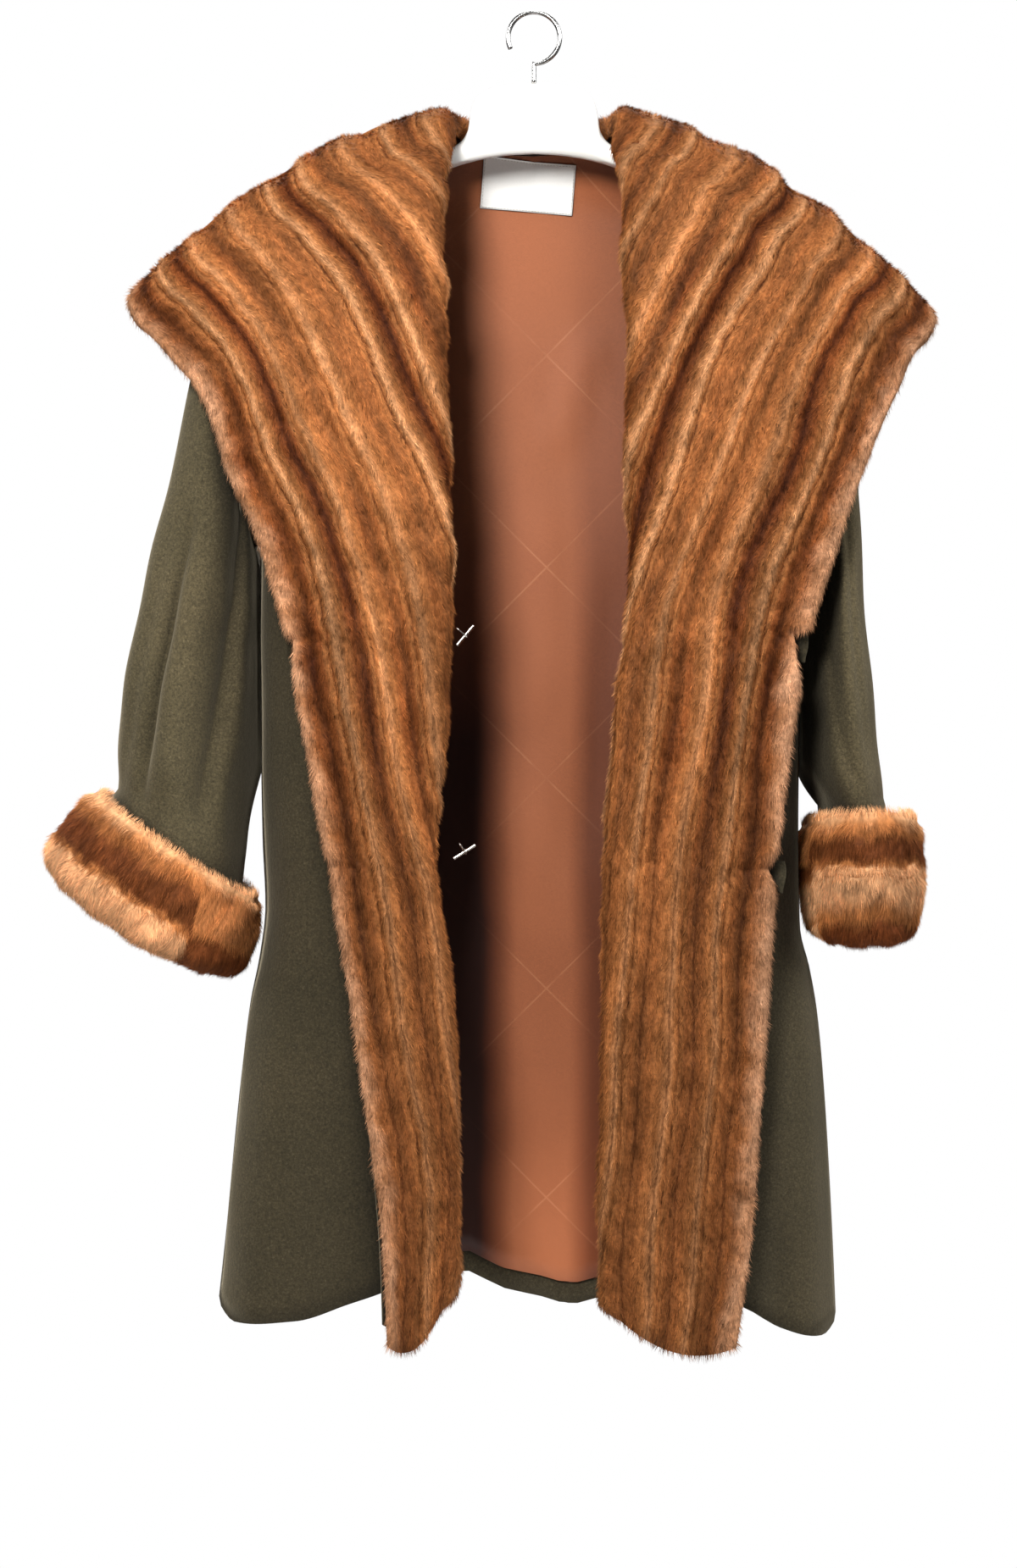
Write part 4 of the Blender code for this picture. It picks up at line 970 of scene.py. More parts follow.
def plastic_material():
    """White moulded plastic with a faint cream cast, dust and handling marks."""
    s = Shade("hanger_white", Roughness=0.34, Coat_Weight=0.25, Subsurface_Weight=0.08,
              Subsurface_Radius=(0.004, 0.003, 0.002))
    place = s.place()
    cream = [(0.3, (0.83, 0.815, 0.77)), (0.7, (0.91, 0.905, 0.88))]
    s.set("Base Color", s.ramp(s.noise(place, 14.0), cream))
    s.set("Roughness", s.ramp(s.noise(place, 60.0, 4.0), [(0.35, 0.27), (0.7, 0.46)]))
    s.bump(s.noise(place, 420.0, 2.0), 0.0002, 0.35)
    return s.material


def metal_material(name, colour, rough):
    """Bright plated metal with fine wiping marks."""
    s = Shade(name, Metallic=1.0)
    place = s.place()
    wipe = s.noise(s.stretched(place, 900, 900, 220), 1.0)
    dull = tuple(c * 0.82 for c in colour)
    s.set("Base Color", s.ramp(s.noise(place, 300.0, 2.0), [(0.3, dull), (0.7, colour)]))
    s.set("Roughness", s.ramp(wipe, [(0.3, rough * 0.7), (0.75, rough * 1.5)]))
    s.bump(wipe, 0.00008, 0.3)
    return s.material


# Painted shade: each underfur copy is darker than its hairs' copy, 0.62 against 0.80 and 0.93 against 1.18,
# for the shade down among the hairs.
fur_base = fur_material("mink_underfur", 0.62, 0.6)
fur_hair = fur_material("mink_hair", 0.80, 0.6)
cuff_base = fur_material("cuff_underfur", 0.93, 0.2, CUFF_BANDS, 0.05, 0.35)
cuff_hair = fur_material("cuff_hair", 1.18, 0.2, CUFF_BANDS, 0.05, 0.35)
# Painted light and shade: the sleeves' wool is a lighter copy of the body's, 1.6 against 0.85, as the sleeves
# catch more light than the body.
wool = wool_material("olive_wool", 0.85)
sleeve_wool_painted_lighter = wool_material("olive_sleeve_wool", 1.6)
satin = satin_material("copper_satin")
leather = grained(
    "pelt_leather", (260, 260, 260), 4.0, [(0.3, (0.26, 0.15, 0.09)), (0.7, (0.38, 0.24, 0.15))],
    0.0004, 0.5, Roughness=0.85)
label_white = grained(
    "label_satin", (5200, 300, 1500), 2.0, [(0.3, (0.90, 0.89, 0.86)), (0.7, (0.97, 0.965, 0.94))],
    0.0003, 0.5, Roughness=0.38, Sheen_Weight=0.2)
cream_thread = grained(
    "cream_thread", (3000, 3000, 3000), 2.0, [(0.35, (0.546, 0.525, 0.476)), (0.65, (0.78, 0.75, 0.68))],
    0.0002, Roughness=0.6, Sheen_Weight=0.2)
plastic = plastic_material()
steel = metal_material("hook_steel", (0.62, 0.62, 0.61), 0.22)
silver = metal_material("toggle_silver", (0.50, 0.47, 0.43), 0.26)
pale_floor = grained(
    "pale_floor", (3, 3, 3), 3.0, [(0.3, (0.90, 0.90, 0.90)), (0.7, (0.93, 0.93, 0.93))], Roughness=0.9)

# --- body --------------------------------------------------------------------------------------
LEVELS = [0, 0.004, 0.018, 0.042, 0.08, 0.14, 0.22, 0.31, 0.42, 0.53, 0.64, 0.74, 0.86, 1.0]
LINING_INSET = CLOTH / 2 + LINING_AIR + LINING / 2  # from the middle of the wool to the middle of the lining
LINING_SEAM = 0.6  # half the gap between the front and back linings
LINED = 0.981  # the lining ends this far down the panels, above the hem's turning
PANEL_ROWS = 104
FRONT_COLUMNS = 44
ACROSS_BACK = np.sin(np.linspace(0, math.pi / 2, 52))
PLAIN_EDGE = 20.0  # over this far in from a panel's side edges the creases grow to their full height


def levels(count):
    """Rows from the shoulder to the hem, closest where the shoulder rounds over."""
    return np.interp(np.linspace(0, len(LEVELS) - 1, count), range(len(LEVELS)), LEVELS)


def front_sheet(side, behind, rows):
    """Grid of one front from its edge, this far behind the fold's outline, to the side seam."""
    across = np.linspace(0, 1, FRONT_COLUMNS)
    grid = np.zeros((len(rows), FRONT_COLUMNS, 3))
    for j, t in enumerate(rows):
        z = np.full(FRONT_COLUMNS, SHOULDER_Z[side])
        for _ in range(SETTLING):
            edge = FOLD[side].along("z", z, "x") + behind
            width = edge + (side_x(side, z) - edge) * across
            top = shoulder_z(side * width)
            z = top + (HEM_FRONT[side].along("x", width, "z") - top) * t
        grid[j, :, 0], grid[j, :, 2] = side * width, z
        grid[j, :, 1] = front_y(side, side * width, z)
    return grid


# Soft creases on a panel: from one place to another across the front view, with height and width.
CREASES_BACK = Table(
    "x0 z0 x1 z1 out width",
    [(56, -250, 14, -380, -3.2, 10), (14, -380, 6, -620, -2.2, 14), (84, -420, 34, -760, 2.6, 16),
     (-44, -300, -52, -820, 2.4, 18), (-150, -330, -176, -900, -3, 20), (-98, -560, -112, -1090, 3, 18),
     (150, -360, 166, -860, 3, 20), (118, -620, 132, -1080, -3, 16), (30, -820, 22, -1100, 2.5, 18)],
)
CREASES_FRONT = both(
    "x0 z0 x1 z1 out width",
    [(214, -520, 226, -900, -1.6, 12), (186, -620, 190, -1090, 1.8, 14),
     (238, -760, 252, -1080, 1.6, 10)],
    [(206, -640, 214, -940, -1.6, 11), (226, -820, 236, -1100, 1.8, 10),
     (190, -700, 186, -1090, 1.5, 12)],
)


def creases(table, x, z):
    """Height of the listed creases, each a soft line that fades at its ends."""
    total = np.zeros(x.shape)
    for x0, z0, x1, z1, out, width in table.rows():
        along = np.array([x1 - x0, z1 - z0])
        length = np.hypot(*along)
        along /= length
        t = ((x - x0) * along[0] + (z - z0) * along[1]) / length
        off = (x - x0) * along[1] - (z - z0) * along[0]
        fade = np.clip(t / 0.25, 0, 1) * np.clip((1 - t) / 0.25, 0, 1)
        total += out * eased(fade) * bell(off / width)
    return total


def creased(grid, sign, heights):
    """The panel with these heights on it, none at its side edges."""
    across = length_across(grid)
    heights = heights * np.clip(np.minimum(across, across[:, -1:] - across) / PLAIN_EDGE, 0, 1)
    return grid + normals(grid) * (sign * heights)[:, :, None]


def back_sheet(rows):
    grid = back_panel(ACROSS_BACK, rows)
    x, z = grid[:, :, 0], grid[:, :, 2]
    return creased(grid, 1, creases(CREASES_BACK, x, z) + 0.7 * ripple(x / 110, z / 170, 3))


cloth("wool_back", back_sheet(levels(PANEL_ROWS)), 1, CLOTH, (wool, wool), "back")
back_lining = moved(back_sheet(levels(PANEL_ROWS) * LINED), -LINING_INSET)
back_lining[:, :, 1] = np.maximum(back_lining[:, :, 1], LINING_SEAM)
cloth("satin_back", back_lining, 1, LINING, (satin, satin), "lining_back")

for word, side in SIDES.items():
    for behind, reach, lining in ((EDGE_BEHIND_FOLD, 1.0, False), (LINING_BEHIND_FOLD, LINED, True)):
        grid = front_sheet(side, behind, levels(PANEL_ROWS) * reach)
        x, z = grid[:, :, 0], grid[:, :, 2]
        heights = creases(CREASES_FRONT[side], side * x, z) + 0.6 * ripple(x / 90, z / 150, 11 + side)
        grid = creased(grid, -side, heights)
        if lining:
            grid = moved(grid, side * LINING_INSET)
            grid[:, :, 1] = np.minimum(grid[:, :, 1], -LINING_SEAM)
            cloth("satin_front_" + word, grid, -side, LINING, (satin, satin), "lining_front_" + word)
        else:
            cloth("wool_front_" + word, grid, -side, CLOTH, (wool, wool), "front_" + word)

# --- sleeves -----------------------------------------------------------------------------------
SLEEVE_ROUND = 112
SLEEVE_RINGS = 96
# Extra creases of the sleeves: first and last ring, place round it at each in degrees, height
# and width in degrees.
SLEEVE_CREASES = both(
    "from to turn0 turn1 out width",
    [(4.4, 8.95, 61, 56, -7.5, 6.5), (0.3, 8.8, 113, 112, -8.0, 6.5), (3.0, 8.8, 88, 88, 2.0, 12),
     (0.6, 8.6, 128, 127, 3.0, 7), (5, 8.9, 36, 30, -2.2, 7), (2, 8.5, 232, 236, 2.4, 8),
     (1.5, 7, 285, 290, -2.6, 8), (4, 8.8, 318, 312, 2, 7)],
    [(1.2, 8.6, 96, 88, -4.0, 9), (2.5, 8.8, 62, 56, -2.8, 8), (1, 6, 112, 116, 2.2, 9),
     (3, 8.8, 74, 72, 2.2, 8), (2, 8.5, 225, 232, 2.2, 8), (1.5, 7, 280, 284, -2.4, 8),
     (4, 8.8, 312, 306, 2, 7)],
)


def sleeve_sheet(side):
    """The sleeve of the solid with finer rings, and its own creases."""
    around = np.linspace(0, 2 * math.pi, SLEEVE_ROUND, endpoint=False)
    degrees = np.degrees(around)
    at = np.linspace(0, SLEEVE[side].count - 1, SLEEVE_RINGS)
    rings = np.array([ring(side, SLEEVE[side], a, around) for a in at])
    heights = np.zeros(rings.shape[:2])
    for turn, deep, width, first, last in SLEEVE_FLUTES[side].rows():
        show = np.clip((at - first) / 2, 0, 1) * np.clip(last - at, 0, 1)
        heights += deep * show[:, None] * bell(((degrees - turn + 180) % 360 - 180) / width)
    for first, last, turn0, turn1, deep, width in SLEEVE_CREASES[side].rows():
        t = np.clip((at - first) / (last - first), 0, 1)[:, None]
        apart = (degrees - (turn0 + (turn1 - turn0) * t) + 180) % 360 - 180
        heights += deep * np.sin(math.pi * t) ** 0.6 * bell(apart / width)
    heights += 0.6 * ripple(np.cos(around)[None] * 1.2 + np.sin(around)[None], at[:, None] / 1.6, 21 + side)
    heights *= np.clip(at / 0.8, 0, 1)[:, None]
    rings = rings + heights[:, :, None] * unit(rings - rings.mean(1, keepdims=True))
    held_off = rings.copy()
    beside_body(side, held_off, np.interp(at, [0, 1, 3], [2.0, 3.0, SLEEVE_GAP]))
    share = np.clip(at, 0, 1)[:, None, None]
    rings = rings * (1 - share) + held_off * share
    inside = [ring(side, CUFF[side], t, around, ROLL) for t in SLEEVE_IN_CUFF]
    return np.concatenate([rings, inside])


def outward(grid):
    """Which way along its normals a tube faces out."""
    return math.copysign(1, (normals(grid, True) * (grid - grid.mean(1, keepdims=True))).sum())


for word, side in SIDES.items():
    grid = sleeve_sheet(side)
    cloth("wool_sleeve_" + word, grid, outward(grid), CLOTH, (sleeve_wool_painted_lighter, satin), "sleeve_" + word,
          wrap=True)

# --- furs --------------------------------------------------------------------------------------
FRONT_HAIRS, COLLAR_HAIRS, CUFF_HAIRS = 158000, 126000, 52000
FUR_COLUMNS, COLLAR_COLUMNS, COLLAR_ROWS = 118, 104, 132
CUFF_AROUND, CUFF_WALL = 150, 40
CUFF_TOP = 2  # rings above the underfur, which the hairs alone reach
OUTER_WALL = 30  # rings that face out
FRONT_CURL, COLLAR_CURL, CUFF_CURL, BACKING_CURL = 14, 12, 12, 3  # columns or rings round a fold
COLLAR_DEEP = 320  # about the length of the collar's rows
MEASURED_FRONT, MEASURED_COLLAR = 80, 70  # the columns whose length counts as the length of the strips
STRIP_WIDTH, CUFF_STRIP_WIDTH = 38, 46
SLIT_CREASE = 3.4  # depth of the fur's dip at a slit
RIDGE_NORMAL = (0.4, 0.92)  # across and up
RIDGE_REACH = 18.0


def along_strips(grid, d):
    """The way the strips run at each point, down the grid's rows."""
    down, over = np.gradient(grid, axis=0), np.gradient(grid, axis=1)
    d_down, d_over = np.gradient(d, axis=0)[:, :, None], np.gradient(d, axis=1)[:, :, None]
    return unit(over * d_down - down * d_over)


def across_strips(grid):
    return unit(np.gradient(grid, axis=1))


def level_at_ridge(n, grid, ridges):
    """The normals turned the same way at rows on a shoulder's ridge, so that the furs meet there."""
    for row, side in ridges.items():
        apart = np.linalg.norm(grid - grid[row], axis=2, keepdims=True)
        share = eased(np.clip(apart / RIDGE_REACH, 0, 1))
        n = n * share + np.array([RIDGE_NORMAL[0] * side, 0.0, RIDGE_NORMAL[1]]) * (1 - share)
    return unit(n)


def pelt(name, grid, sign, strips, heights, ridges, hair_way, count, seed, replaces, edges, wrap=False):
    """A pelt of dense underfur on its leather, and the hairs on it. edges names those that round off."""
    u, v = strips
    n = level_at_ridge(normals(grid, wrap) * sign, grid, ridges)
    p = rounding(grid, edges, CUFF_ROUND if wrap else FUR_ROUND)
    middle, half = (FUR_BASE + FUR_SKIN) / 2, (FUR_BASE - FUR_SKIN) / 2
    outer = grid + n * (middle + half * p + heights * p)[:, :, None]
    inner = grid + n * (middle - half * p)[:, :, None]
    under, over = (cuff_base, cuff_hair) if wrap else (fur_base, fur_hair)
    skin = closed_sheet("pelt_" + name, outer, inner, u, v, (under, leather), wrap, PELT_KEEP)
    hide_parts(replaces)
    coat = []
    coat = [hairs("hairs_" + name, outer, sign, hair_way, u, v, count, seed, over, wrap)]


for word, side in SIDES.items():
    rows = FUR_FRONT[side]
    slits = SLITS[side].columns["z"]
    at = np.unique(np.concatenate([
        np.linspace(0, 5, 60),
        np.linspace(5, rows.count - 1.05, 120),
        levels_of_edge(side, [z + e for z in slits for e in (6, 2, 0, -2, -6, -12)]),
    ]))
    whole = fur_front(side, at, np.array([[0.0, 1.0]] * len(at)), 1)
    row_length = np.linalg.norm(whole[:, -1] - whole[:, -2], axis=1)
    across = np.linspace(0, 1, FUR_COLUMNS)[None, :] * (1 - FUR_EDGE / row_length)[:, None]
    grid = fur_front(side, at, across, FRONT_CURL)
    edge_z = rows.row(at, "zo")
    arc = length_across(grid)
    drawn_in = slit_depth(side, edge_z)[:, None] * across[:, -1:] ** SLIT_SHARP
    d = arc[:, -1:] + drawn_in - arc + FUR_EDGE
    v = np.repeat(length_down(grid)[:, MEASURED_FRONT, None], grid.shape[1], 1)
    u = strip_number(SEAMS[side], d, v, 40 + side)
    heights = strip_relief(u, v, STRIP_WIDTH, 90 + side) * calm_at(v, (0,), 0.05)
    heights += waves(WAVES[side], d, v) + 0.7 * ripple(d / 40, v / 0.05, 50 + side)
    for z in slits:
        heights -= SLIT_CREASE * bell((edge_z - z + 1) / 5)[:, None] * bell((d - FUR_EDGE) / 22)
    apart = 0.9 * np.exp(-(d - FUR_EDGE) / 5) - 0.8 * np.exp(-arc / 8)  # out over the edge and the fold
    way = along_strips(grid, d) + across_strips(grid) * apart[:, :, None]
    pelt("front_" + word, grid, -side, (u, v), heights, {0: side}, way, FRONT_HAIRS, 60 + side,
         "fur_front_" + word, "bottom left right")

at = np.linspace(-1, 1, COLLAR_ROWS)
across = np.linspace(0, 1, COLLAR_COLUMNS)[None, :] * (1 - FUR_EDGE / COLLAR_DEEP)
grid = fur_collar(at, np.repeat(across, len(at), 0), COLLAR_CURL)
arc = length_across(grid)
d = arc[:, -1:] - arc + FUR_EDGE
v = np.repeat(length_down(grid)[:, MEASURED_COLLAR, None], grid.shape[1], 1)
share = ((at + 1) / 2)[:, None]
u = (1 - share) * strip_number(SEAMS[-1], d, v, 39) + share * strip_number(SEAMS[1], d, v - v[-1:], 41)
heights = strip_relief(u, v, STRIP_WIDTH, 95) * calm_at(v, (0, v[-1, 0]), 0.05)
heights += 0.8 * ripple(d / 45, v / 0.06, 55)
way = along_strips(grid, d) * -at[:, None, None] + across_strips(grid) * (1.1 - np.abs(at))[:, None, None]
pelt("collar", grid, -1, (u, v), heights, {0: -1, -1: 1}, way, COLLAR_HAIRS, 65, "fur_collar", "left right")

# Millimetres down the wall, round the lower edge and up inside, and strips counted there.
CUFF_STRIPS = both(
    "down count",
    [(0, 0.10), (16, 0.30), (34, 0.46), (48, 0.56), (62, 0.84), (86, 0.96), (90, 1.04), (112, 1.22),
     (150, 1.5), (220, 2.5)],
    [(0, 0.10), (18, 0.30), (28, 0.47), (40, 0.60), (53, 0.96), (56, 1.05), (68, 1.16), (92, 1.30),
     (104, 1.5), (124, 1.6), (220, 2.5)],
)
CUFF_JOIN = {-1: (116, 205), 1: (150, 240)}  # a separate pelt closes the ring over these degrees
for word, side in SIDES.items():
    grid = cuff(side, CUFF_AROUND, CUFF_WALL, CUFF_CURL)[CUFF_TOP:]
    down = length_down(grid) / MM + FUR_EDGE
    degrees = np.linspace(0, 360, grid.shape[1], endpoint=False)[None, :]
    round_it = length_across(grid) * MM
    turn = np.radians(degrees)
    wander = 2.0 * ripple(np.cos(turn) * 1.3 + down * 0, np.sin(turn) * 1.3 + down / 90, 70 + side)
    strips = CUFF_STRIPS[side].columns
    u = np.interp(down + wander, strips["down"], strips["count"])
    first, last = CUFF_JOIN[side]
    u = np.maximum(u - 0.30 * ((degrees > first) & (degrees < last)), np.minimum(u, 0.27))
    heights = strip_relief(u, round_it, CUFF_STRIP_WIDTH, 97) * 0.7
    heights += 5.5 * np.sin(np.pi * np.clip(down / 100, 0, 1))
    heights += 0.9 * ripple(down / 40, degrees / 30, 75 + side)
    way = np.gradient(grid, axis=0)
    way[:5] *= np.linspace(-1, 0.6, 5)[:, None, None]
    pelt("cuff_" + word, grid, outward(grid[:OUTER_WALL]), (u, round_it), heights, {}, way, CUFF_HAIRS,
         80 + side, "cuff_" + word, "top", wrap=True)

# --- wool under the turned-back furs -----------------------------------------------------------
BACKING_OFF = 8.1  # from the middle of the fur to the middle of its backing
# Places down and across the fur between which its backing lies, short of the edges all round.
FRONT_BACKED, COLLAR_BACKED = (3.7, -1.25, 0.12, 0.92), (-0.84, 0.84, 0.12, 0.88)


def backing(name, grid, sign, replaces):
    sheet = moved(grid[:, BACKING_CURL + 1:], sign * BACKING_OFF)
    cloth("wool_backing_" + name, sheet, sign, BACKING, (wool, wool), replaces)


for word, side in SIDES.items():
    first, last, inner, outer = FRONT_BACKED
    at = np.linspace(first, FUR_FRONT[side].count + last, 90)
    under = fur_front(side, at, np.repeat(np.linspace(inner, outer, 30)[None], len(at), 0), BACKING_CURL)
    backing(word, under, side, "backing_front_" + word)
first, last, inner, outer = COLLAR_BACKED
at = np.linspace(first, last, 70)
under = fur_collar(at, np.repeat(np.linspace(inner, outer, 34)[None], len(at), 0), BACKING_CURL)
backing("collar", under, 1, "backing_collar")

# --- label -------------------------------------------------------------------------------------
LABEL_WIDE, LABEL_TALL = 80.0, 41.0
LABEL_X, LABEL_Z = -4.7, -138.0
LABEL_TILT = math.radians(4.7)
LABEL_THICK = 0.8
LABEL_COLUMNS, LABEL_ROWS = 41, 22
LABEL_OFF = 1.5  # from the middle of the lining to the middle of the label
STITCH_OFF = 1.95  # to the middle of the stitches' thread, at their ends
STITCH_INSET = 1.2  # from the label's edge
STITCH_STEP = 2.6
THREAD_RADIUS = 0.28
STITCH_RISE = np.array([0, -0.25, 0])
rows, columns = back_lining.shape[:2]
lining_faces = [(j * columns + i, j * columns + i + 1, (j + 1) * columns + i + 1, (j + 1) * columns + i)
                for j in range(rows - 1) for i in range(columns - 1)]
behind = BVHTree.FromPolygons(back_lining.reshape(-1, 3).tolist(), lining_faces)


def on_label(u, v, off):
    """A place on the label, from its middle, this far in front of the lining."""
    x = LABEL_X + u * math.cos(LABEL_TILT) + v * math.sin(LABEL_TILT)
    z = LABEL_Z - u * math.sin(LABEL_TILT) + v * math.cos(LABEL_TILT)
    point, way = behind.ray_cast((x, -200, z), (0, 1, 0))[:2]
    way = way if way[1] < 0 else -way
    return np.array(point) + np.array(way) * off


def threads(name, lines, radius, look, sides=6):
    """Round threads along lines of points, joined in one mesh."""
    points, faces = [], []
    turn = np.linspace(0, 2 * math.pi, sides, endpoint=False)[:, None]
    for line in lines:
        base = len(points)
        way = unit(np.gradient(line, axis=0))
        a = unit(np.cross(way, [0.31, 0.95, 0.07]))
        b = np.cross(way, a)
        for k, spot in enumerate(line):
            points.extend(spot + radius * (np.cos(turn) * a[k] + np.sin(turn) * b[k]))
        for low in range(base, base + (len(line) - 1) * sides, sides):
            for i in range(sides):
                n = (i + 1) % sides
                faces.append((low + i, low + n, low + sides + n, low + sides + i))
        faces.append([base + i for i in range(sides)][::-1])
        faces.append([len(points) - sides + i for i in range(sides)])
    return ridden(name, smooth_mesh(name, np.array(points), faces), look)


label = np.array([
    [on_label(u, v, LABEL_OFF + 0.35 * math.sin(u / 9) * math.sin(v / 7 + 1))
     for u in np.linspace(-0.5, 0.5, LABEL_COLUMNS) * LABEL_WIDE]
    for v in np.linspace(0.5, -0.5, LABEL_ROWS) * LABEL_TALL
])
cloth("label_cloth", label, -1, LABEL_THICK, (label_white, label_white), "label")

stitches = []
t = np.linspace(0, 1, 5)[:, None]
reach = np.array([LABEL_WIDE, LABEL_TALL]) / 2 - STITCH_INSET
for first, last in (((-1, 1), (1, 1)), ((-1, -1), (1, -1)), ((-1, -1), (-1, 1)), ((1, -1), (1, 1))):
    a, b = first * reach, last * reach
    count = int(math.dist(a, b) / STITCH_STEP)
    for k in range(count):
        start, end = (on_label(*(a + (b - a) * (k + e) / count), STITCH_OFF) for e in (0.12, 0.78))
        stitches.append(start + (end - start) * t + STITCH_RISE * np.sin(np.pi * t))
stitching = threads("label_stitches", stitches, THREAD_RADIUS, cream_thread)

# --- closing loops -----------------------------------------------------------------------------
LOOP = Table(
    "x_in x_out z y",
    [(211, 226, -529, -67.5), (213, 227, -538, -68.5), (216, 225.5, -547, -69), (219, 223.5, -555, -69)],
)
LOOP_ROWS, LOOP_COLUMNS = 22, 14
for word, drop, inward, forward in (("upper", 0, 0, 0), ("lower", 191, 19, 6)):
    t = np.linspace(0, LOOP.count - 1, LOOP_ROWS)
    x_in, x_out, z, y = (LOOP.row(t, n)[:, None] for n in LOOP.columns)
    s = np.linspace(0, 1, LOOP_COLUMNS)[None, :]
    x = x_in * (1 - s) + x_out * s - inward
    y = y - forward - 0.9 * np.sin(np.pi * s) + 0.25 * np.sin(t[:, None] * 5 + s * 4)
    grid = np.stack([x, y, z - drop + 0 * s], 2)
    cloth("wool_loop_" + word, grid, -1, BACKING, (wool, wool), "loop_" + word)

# --- hanger and hook ---------------------------------------------------------------------------
HANGER = Table(
    "x top bottom half",
    [(0, -59, -119, 7), (20, -60, -120, 7.5), (38, -64, -122.5, 8), (50, -73, -125, 8.5),
     (54, -84, -126, 9), (56, -98, -126.5, 9), (60, -106.5, -127.5, 9), (68, -113, -130, 10),
     (80, -117.5, -133, 11), (100, -121, -139, 13),
     (139, -132.5, -154, 16), (180, -150, -176, 19), (205, -164, -194, 20), (213, -175, -197, 14)],
)
HANGER_DROP = 5.0  # of the right end, from where the neck's slope ends
HANGER_AROUND = 44
HANGER_STRAIGHT, HANGER_ROUND = 205, 8.4  # the ends round off past this place, over this length
SQUARE = 0.8  # how square the moulding's cross-section is, 1 being an ellipse
half_places = np.unique(np.concatenate([
    np.linspace(0, 48, 13), np.linspace(48, 72, 22), np.linspace(72, 205, 30), np.linspace(205, 213, 7),
]))
turn = np.linspace(0, 2 * math.pi, HANGER_AROUND, endpoint=False)
up, out = (np.sign(wave) * np.abs(wave) ** SQUARE for wave in (np.cos(turn), np.sin(turn)))
rim = 0.7 * bell((up + 0.86) / 0.10)  # a raised rim runs along the lower edge of the moulding
rings = []
for x in np.concatenate([-half_places[:0:-1], half_places]):
    top, bottom, half = (float(HANGER.along("x", abs(x), n)) for n in ("top", "bottom", "half"))
    drop = HANGER_DROP * np.clip((x - 100) / 100, 0, 1)
    end = math.sqrt(max(0.0, 1 - max(0.0, (abs(x) - HANGER_STRAIGHT) / HANGER_ROUND) ** 2))
    y = (half * out + np.sign(out) * rim) * end
    z = (top + bottom) / 2 - drop + (top - bottom) / 2 * up * (0.55 + 0.45 * end)
    rings.append(np.stack([np.full(len(turn), x), y, z], 1))
count = len(turn)
last = (len(rings) - 1) * count
faces = [list(range(count)), list(range(last, last + count))[::-1]]
for low in range(0, last, count):
    for i in range(count):
        k = (i + 1) % count
        faces.append((low + k, low + i, low + count + i, low + count + k))
hanger = ridden("hanger_body", smooth_mesh("hanger_body", np.concatenate(rings), faces), plastic)
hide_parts("hanger")

turns = np.radians(np.linspace(HOOK_FROM, HOOK_TO, 72))
centre_z = -HOOK_RADIUS + HOOK_WIRE / 2
arc = np.stack([HOOK_RADIUS * np.cos(turns), 0 * turns, centre_z + HOOK_RADIUS * np.sin(turns)], 1)
stem = np.array([(0, 0, z) for z in np.linspace(HOOK_FOOT_Z, arc[0, 2] - 1, 8)])
hook = threads("hook_wire", [np.concatenate([stem, arc])], HOOK_WIRE / 2, steel, sides=20)
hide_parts("hook")
for node in ("toggle_bar_upper", "toggle_bar_lower", "toggle_link_upper", "toggle_link_lower"):
    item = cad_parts[node]
    item.data.materials.clear()
    item.data.materials.append(silver)

# --- stage -------------------------------------------------------------------------------------
FLOOR_Z = -1.62
FLOOR_RADIUS = 0.72
bpy.ops.mesh.primitive_circle_add(
    vertices=96, radius=FLOOR_RADIUS, fill_type="NGON", location=(0, 0, FLOOR_Z))
floor = bpy.context.object
floor.name = "floor"
floor.data.materials.append(pale_floor)

COAT_MIDDLE = Vector((0, 0, -0.5))

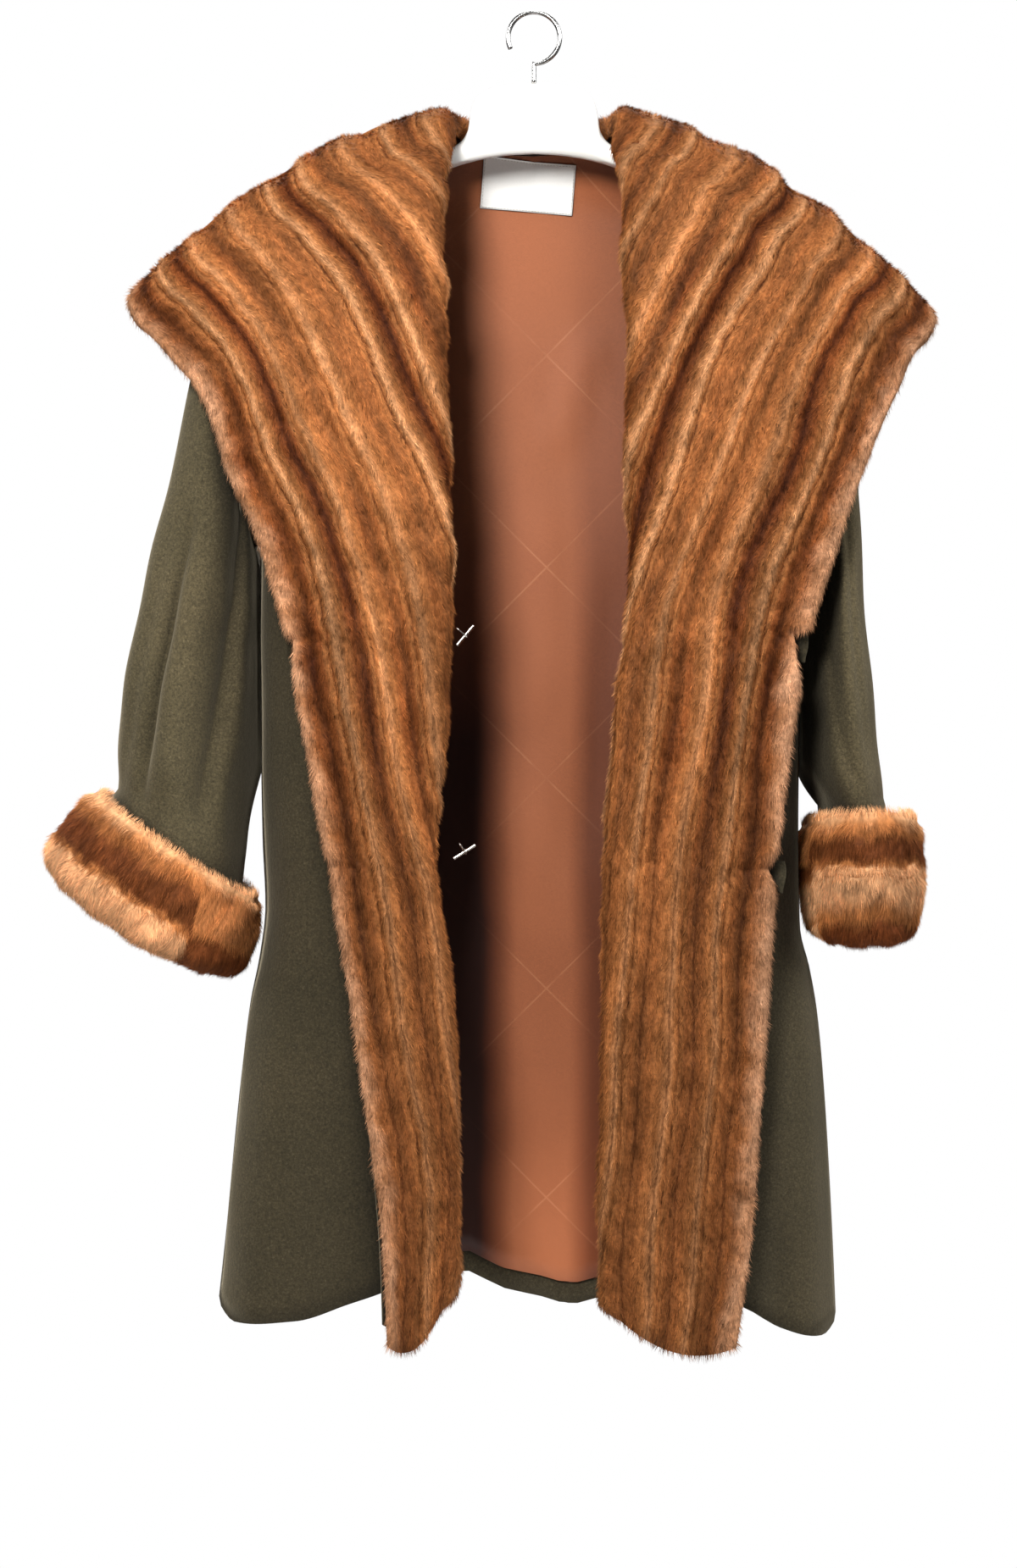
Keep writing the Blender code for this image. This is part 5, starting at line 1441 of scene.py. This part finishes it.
# A white room: the backdrop is white, and its light is softer than what shows of it.
ROOM_LIGHT = 0.08
world = bpy.data.worlds.new("studio")
bpy.context.scene.world = world
world.use_nodes = True
sky = world.node_tree.nodes["Background"]
sky.inputs["Color"].default_value = (1.0, 1.0, 1.0, 1)
seen = world.node_tree.nodes.new("ShaderNodeLightPath")
level = world.node_tree.nodes.new("ShaderNodeMapRange")
world.node_tree.links.new(seen.outputs["Is Camera Ray"], level.inputs["Value"])
level.inputs["To Min"].default_value = ROOM_LIGHT
level.inputs["To Max"].default_value = 1.0
world.node_tree.links.new(level.outputs["Result"], sky.inputs["Strength"])
bpy.context.scene.view_settings.view_transform = "Standard"


def sun(name, azimuth, elevation, strength, spread):
    """A soft distant light that comes from this side of the camera's view, 0 being behind it."""
    light = bpy.data.lights.new(name, "SUN")
    light.energy, light.angle = strength, math.radians(spread)
    item = bpy.data.objects.new(name, light)
    item.rotation_euler = (math.radians(90 - elevation), 0, math.radians(azimuth))
    bpy.context.scene.collection.objects.link(item)


def softbox(name, place, size, power, colour=(1, 1, 1)):
    """A round lamp at this place in metres, turned to the coat's middle."""
    light = bpy.data.lights.new(name, "AREA")
    light.shape, light.size, light.energy, light.color = "DISK", size, power, colour
    item = bpy.data.objects.new(name, light)
    item.location = place
    item.rotation_euler = (COAT_MIDDLE - Vector(place)).to_track_quat("-Z", "Y").to_euler()
    bpy.context.scene.collection.objects.link(item)


softbox("key", (-0.46, -1.60, 0.27), 0.5, 46, (1.0, 0.99, 0.97))
softbox("fill", (1.1, -1.10, 0.25), 0.4, 2.5)
sun("top", 0, 74, 1.2, 30)
sun("left_rim", -104, 22, 1.0, 30)
sun("right_rim", 70, 24, 1.9, 30)
sun("back_fill", 176, 46, 2.4, 40)

CAMERA_FAR = 2.57  # from the camera to the front of the coat
FRAME_TALL = 0.7 * 1.851  # height of what the frame takes in there
SENSOR = 36
camera = bpy.data.objects.new("camera", bpy.data.cameras.new("camera"))
bpy.context.scene.collection.objects.link(camera)
camera.location = (-0.02165, -2.65, -0.6558)
camera.rotation_euler = (math.pi / 2, 0, 0)
camera.data.sensor_width = SENSOR
camera.data.lens = SENSOR * CAMERA_FAR / FRAME_TALL
bpy.context.scene.camera = camera
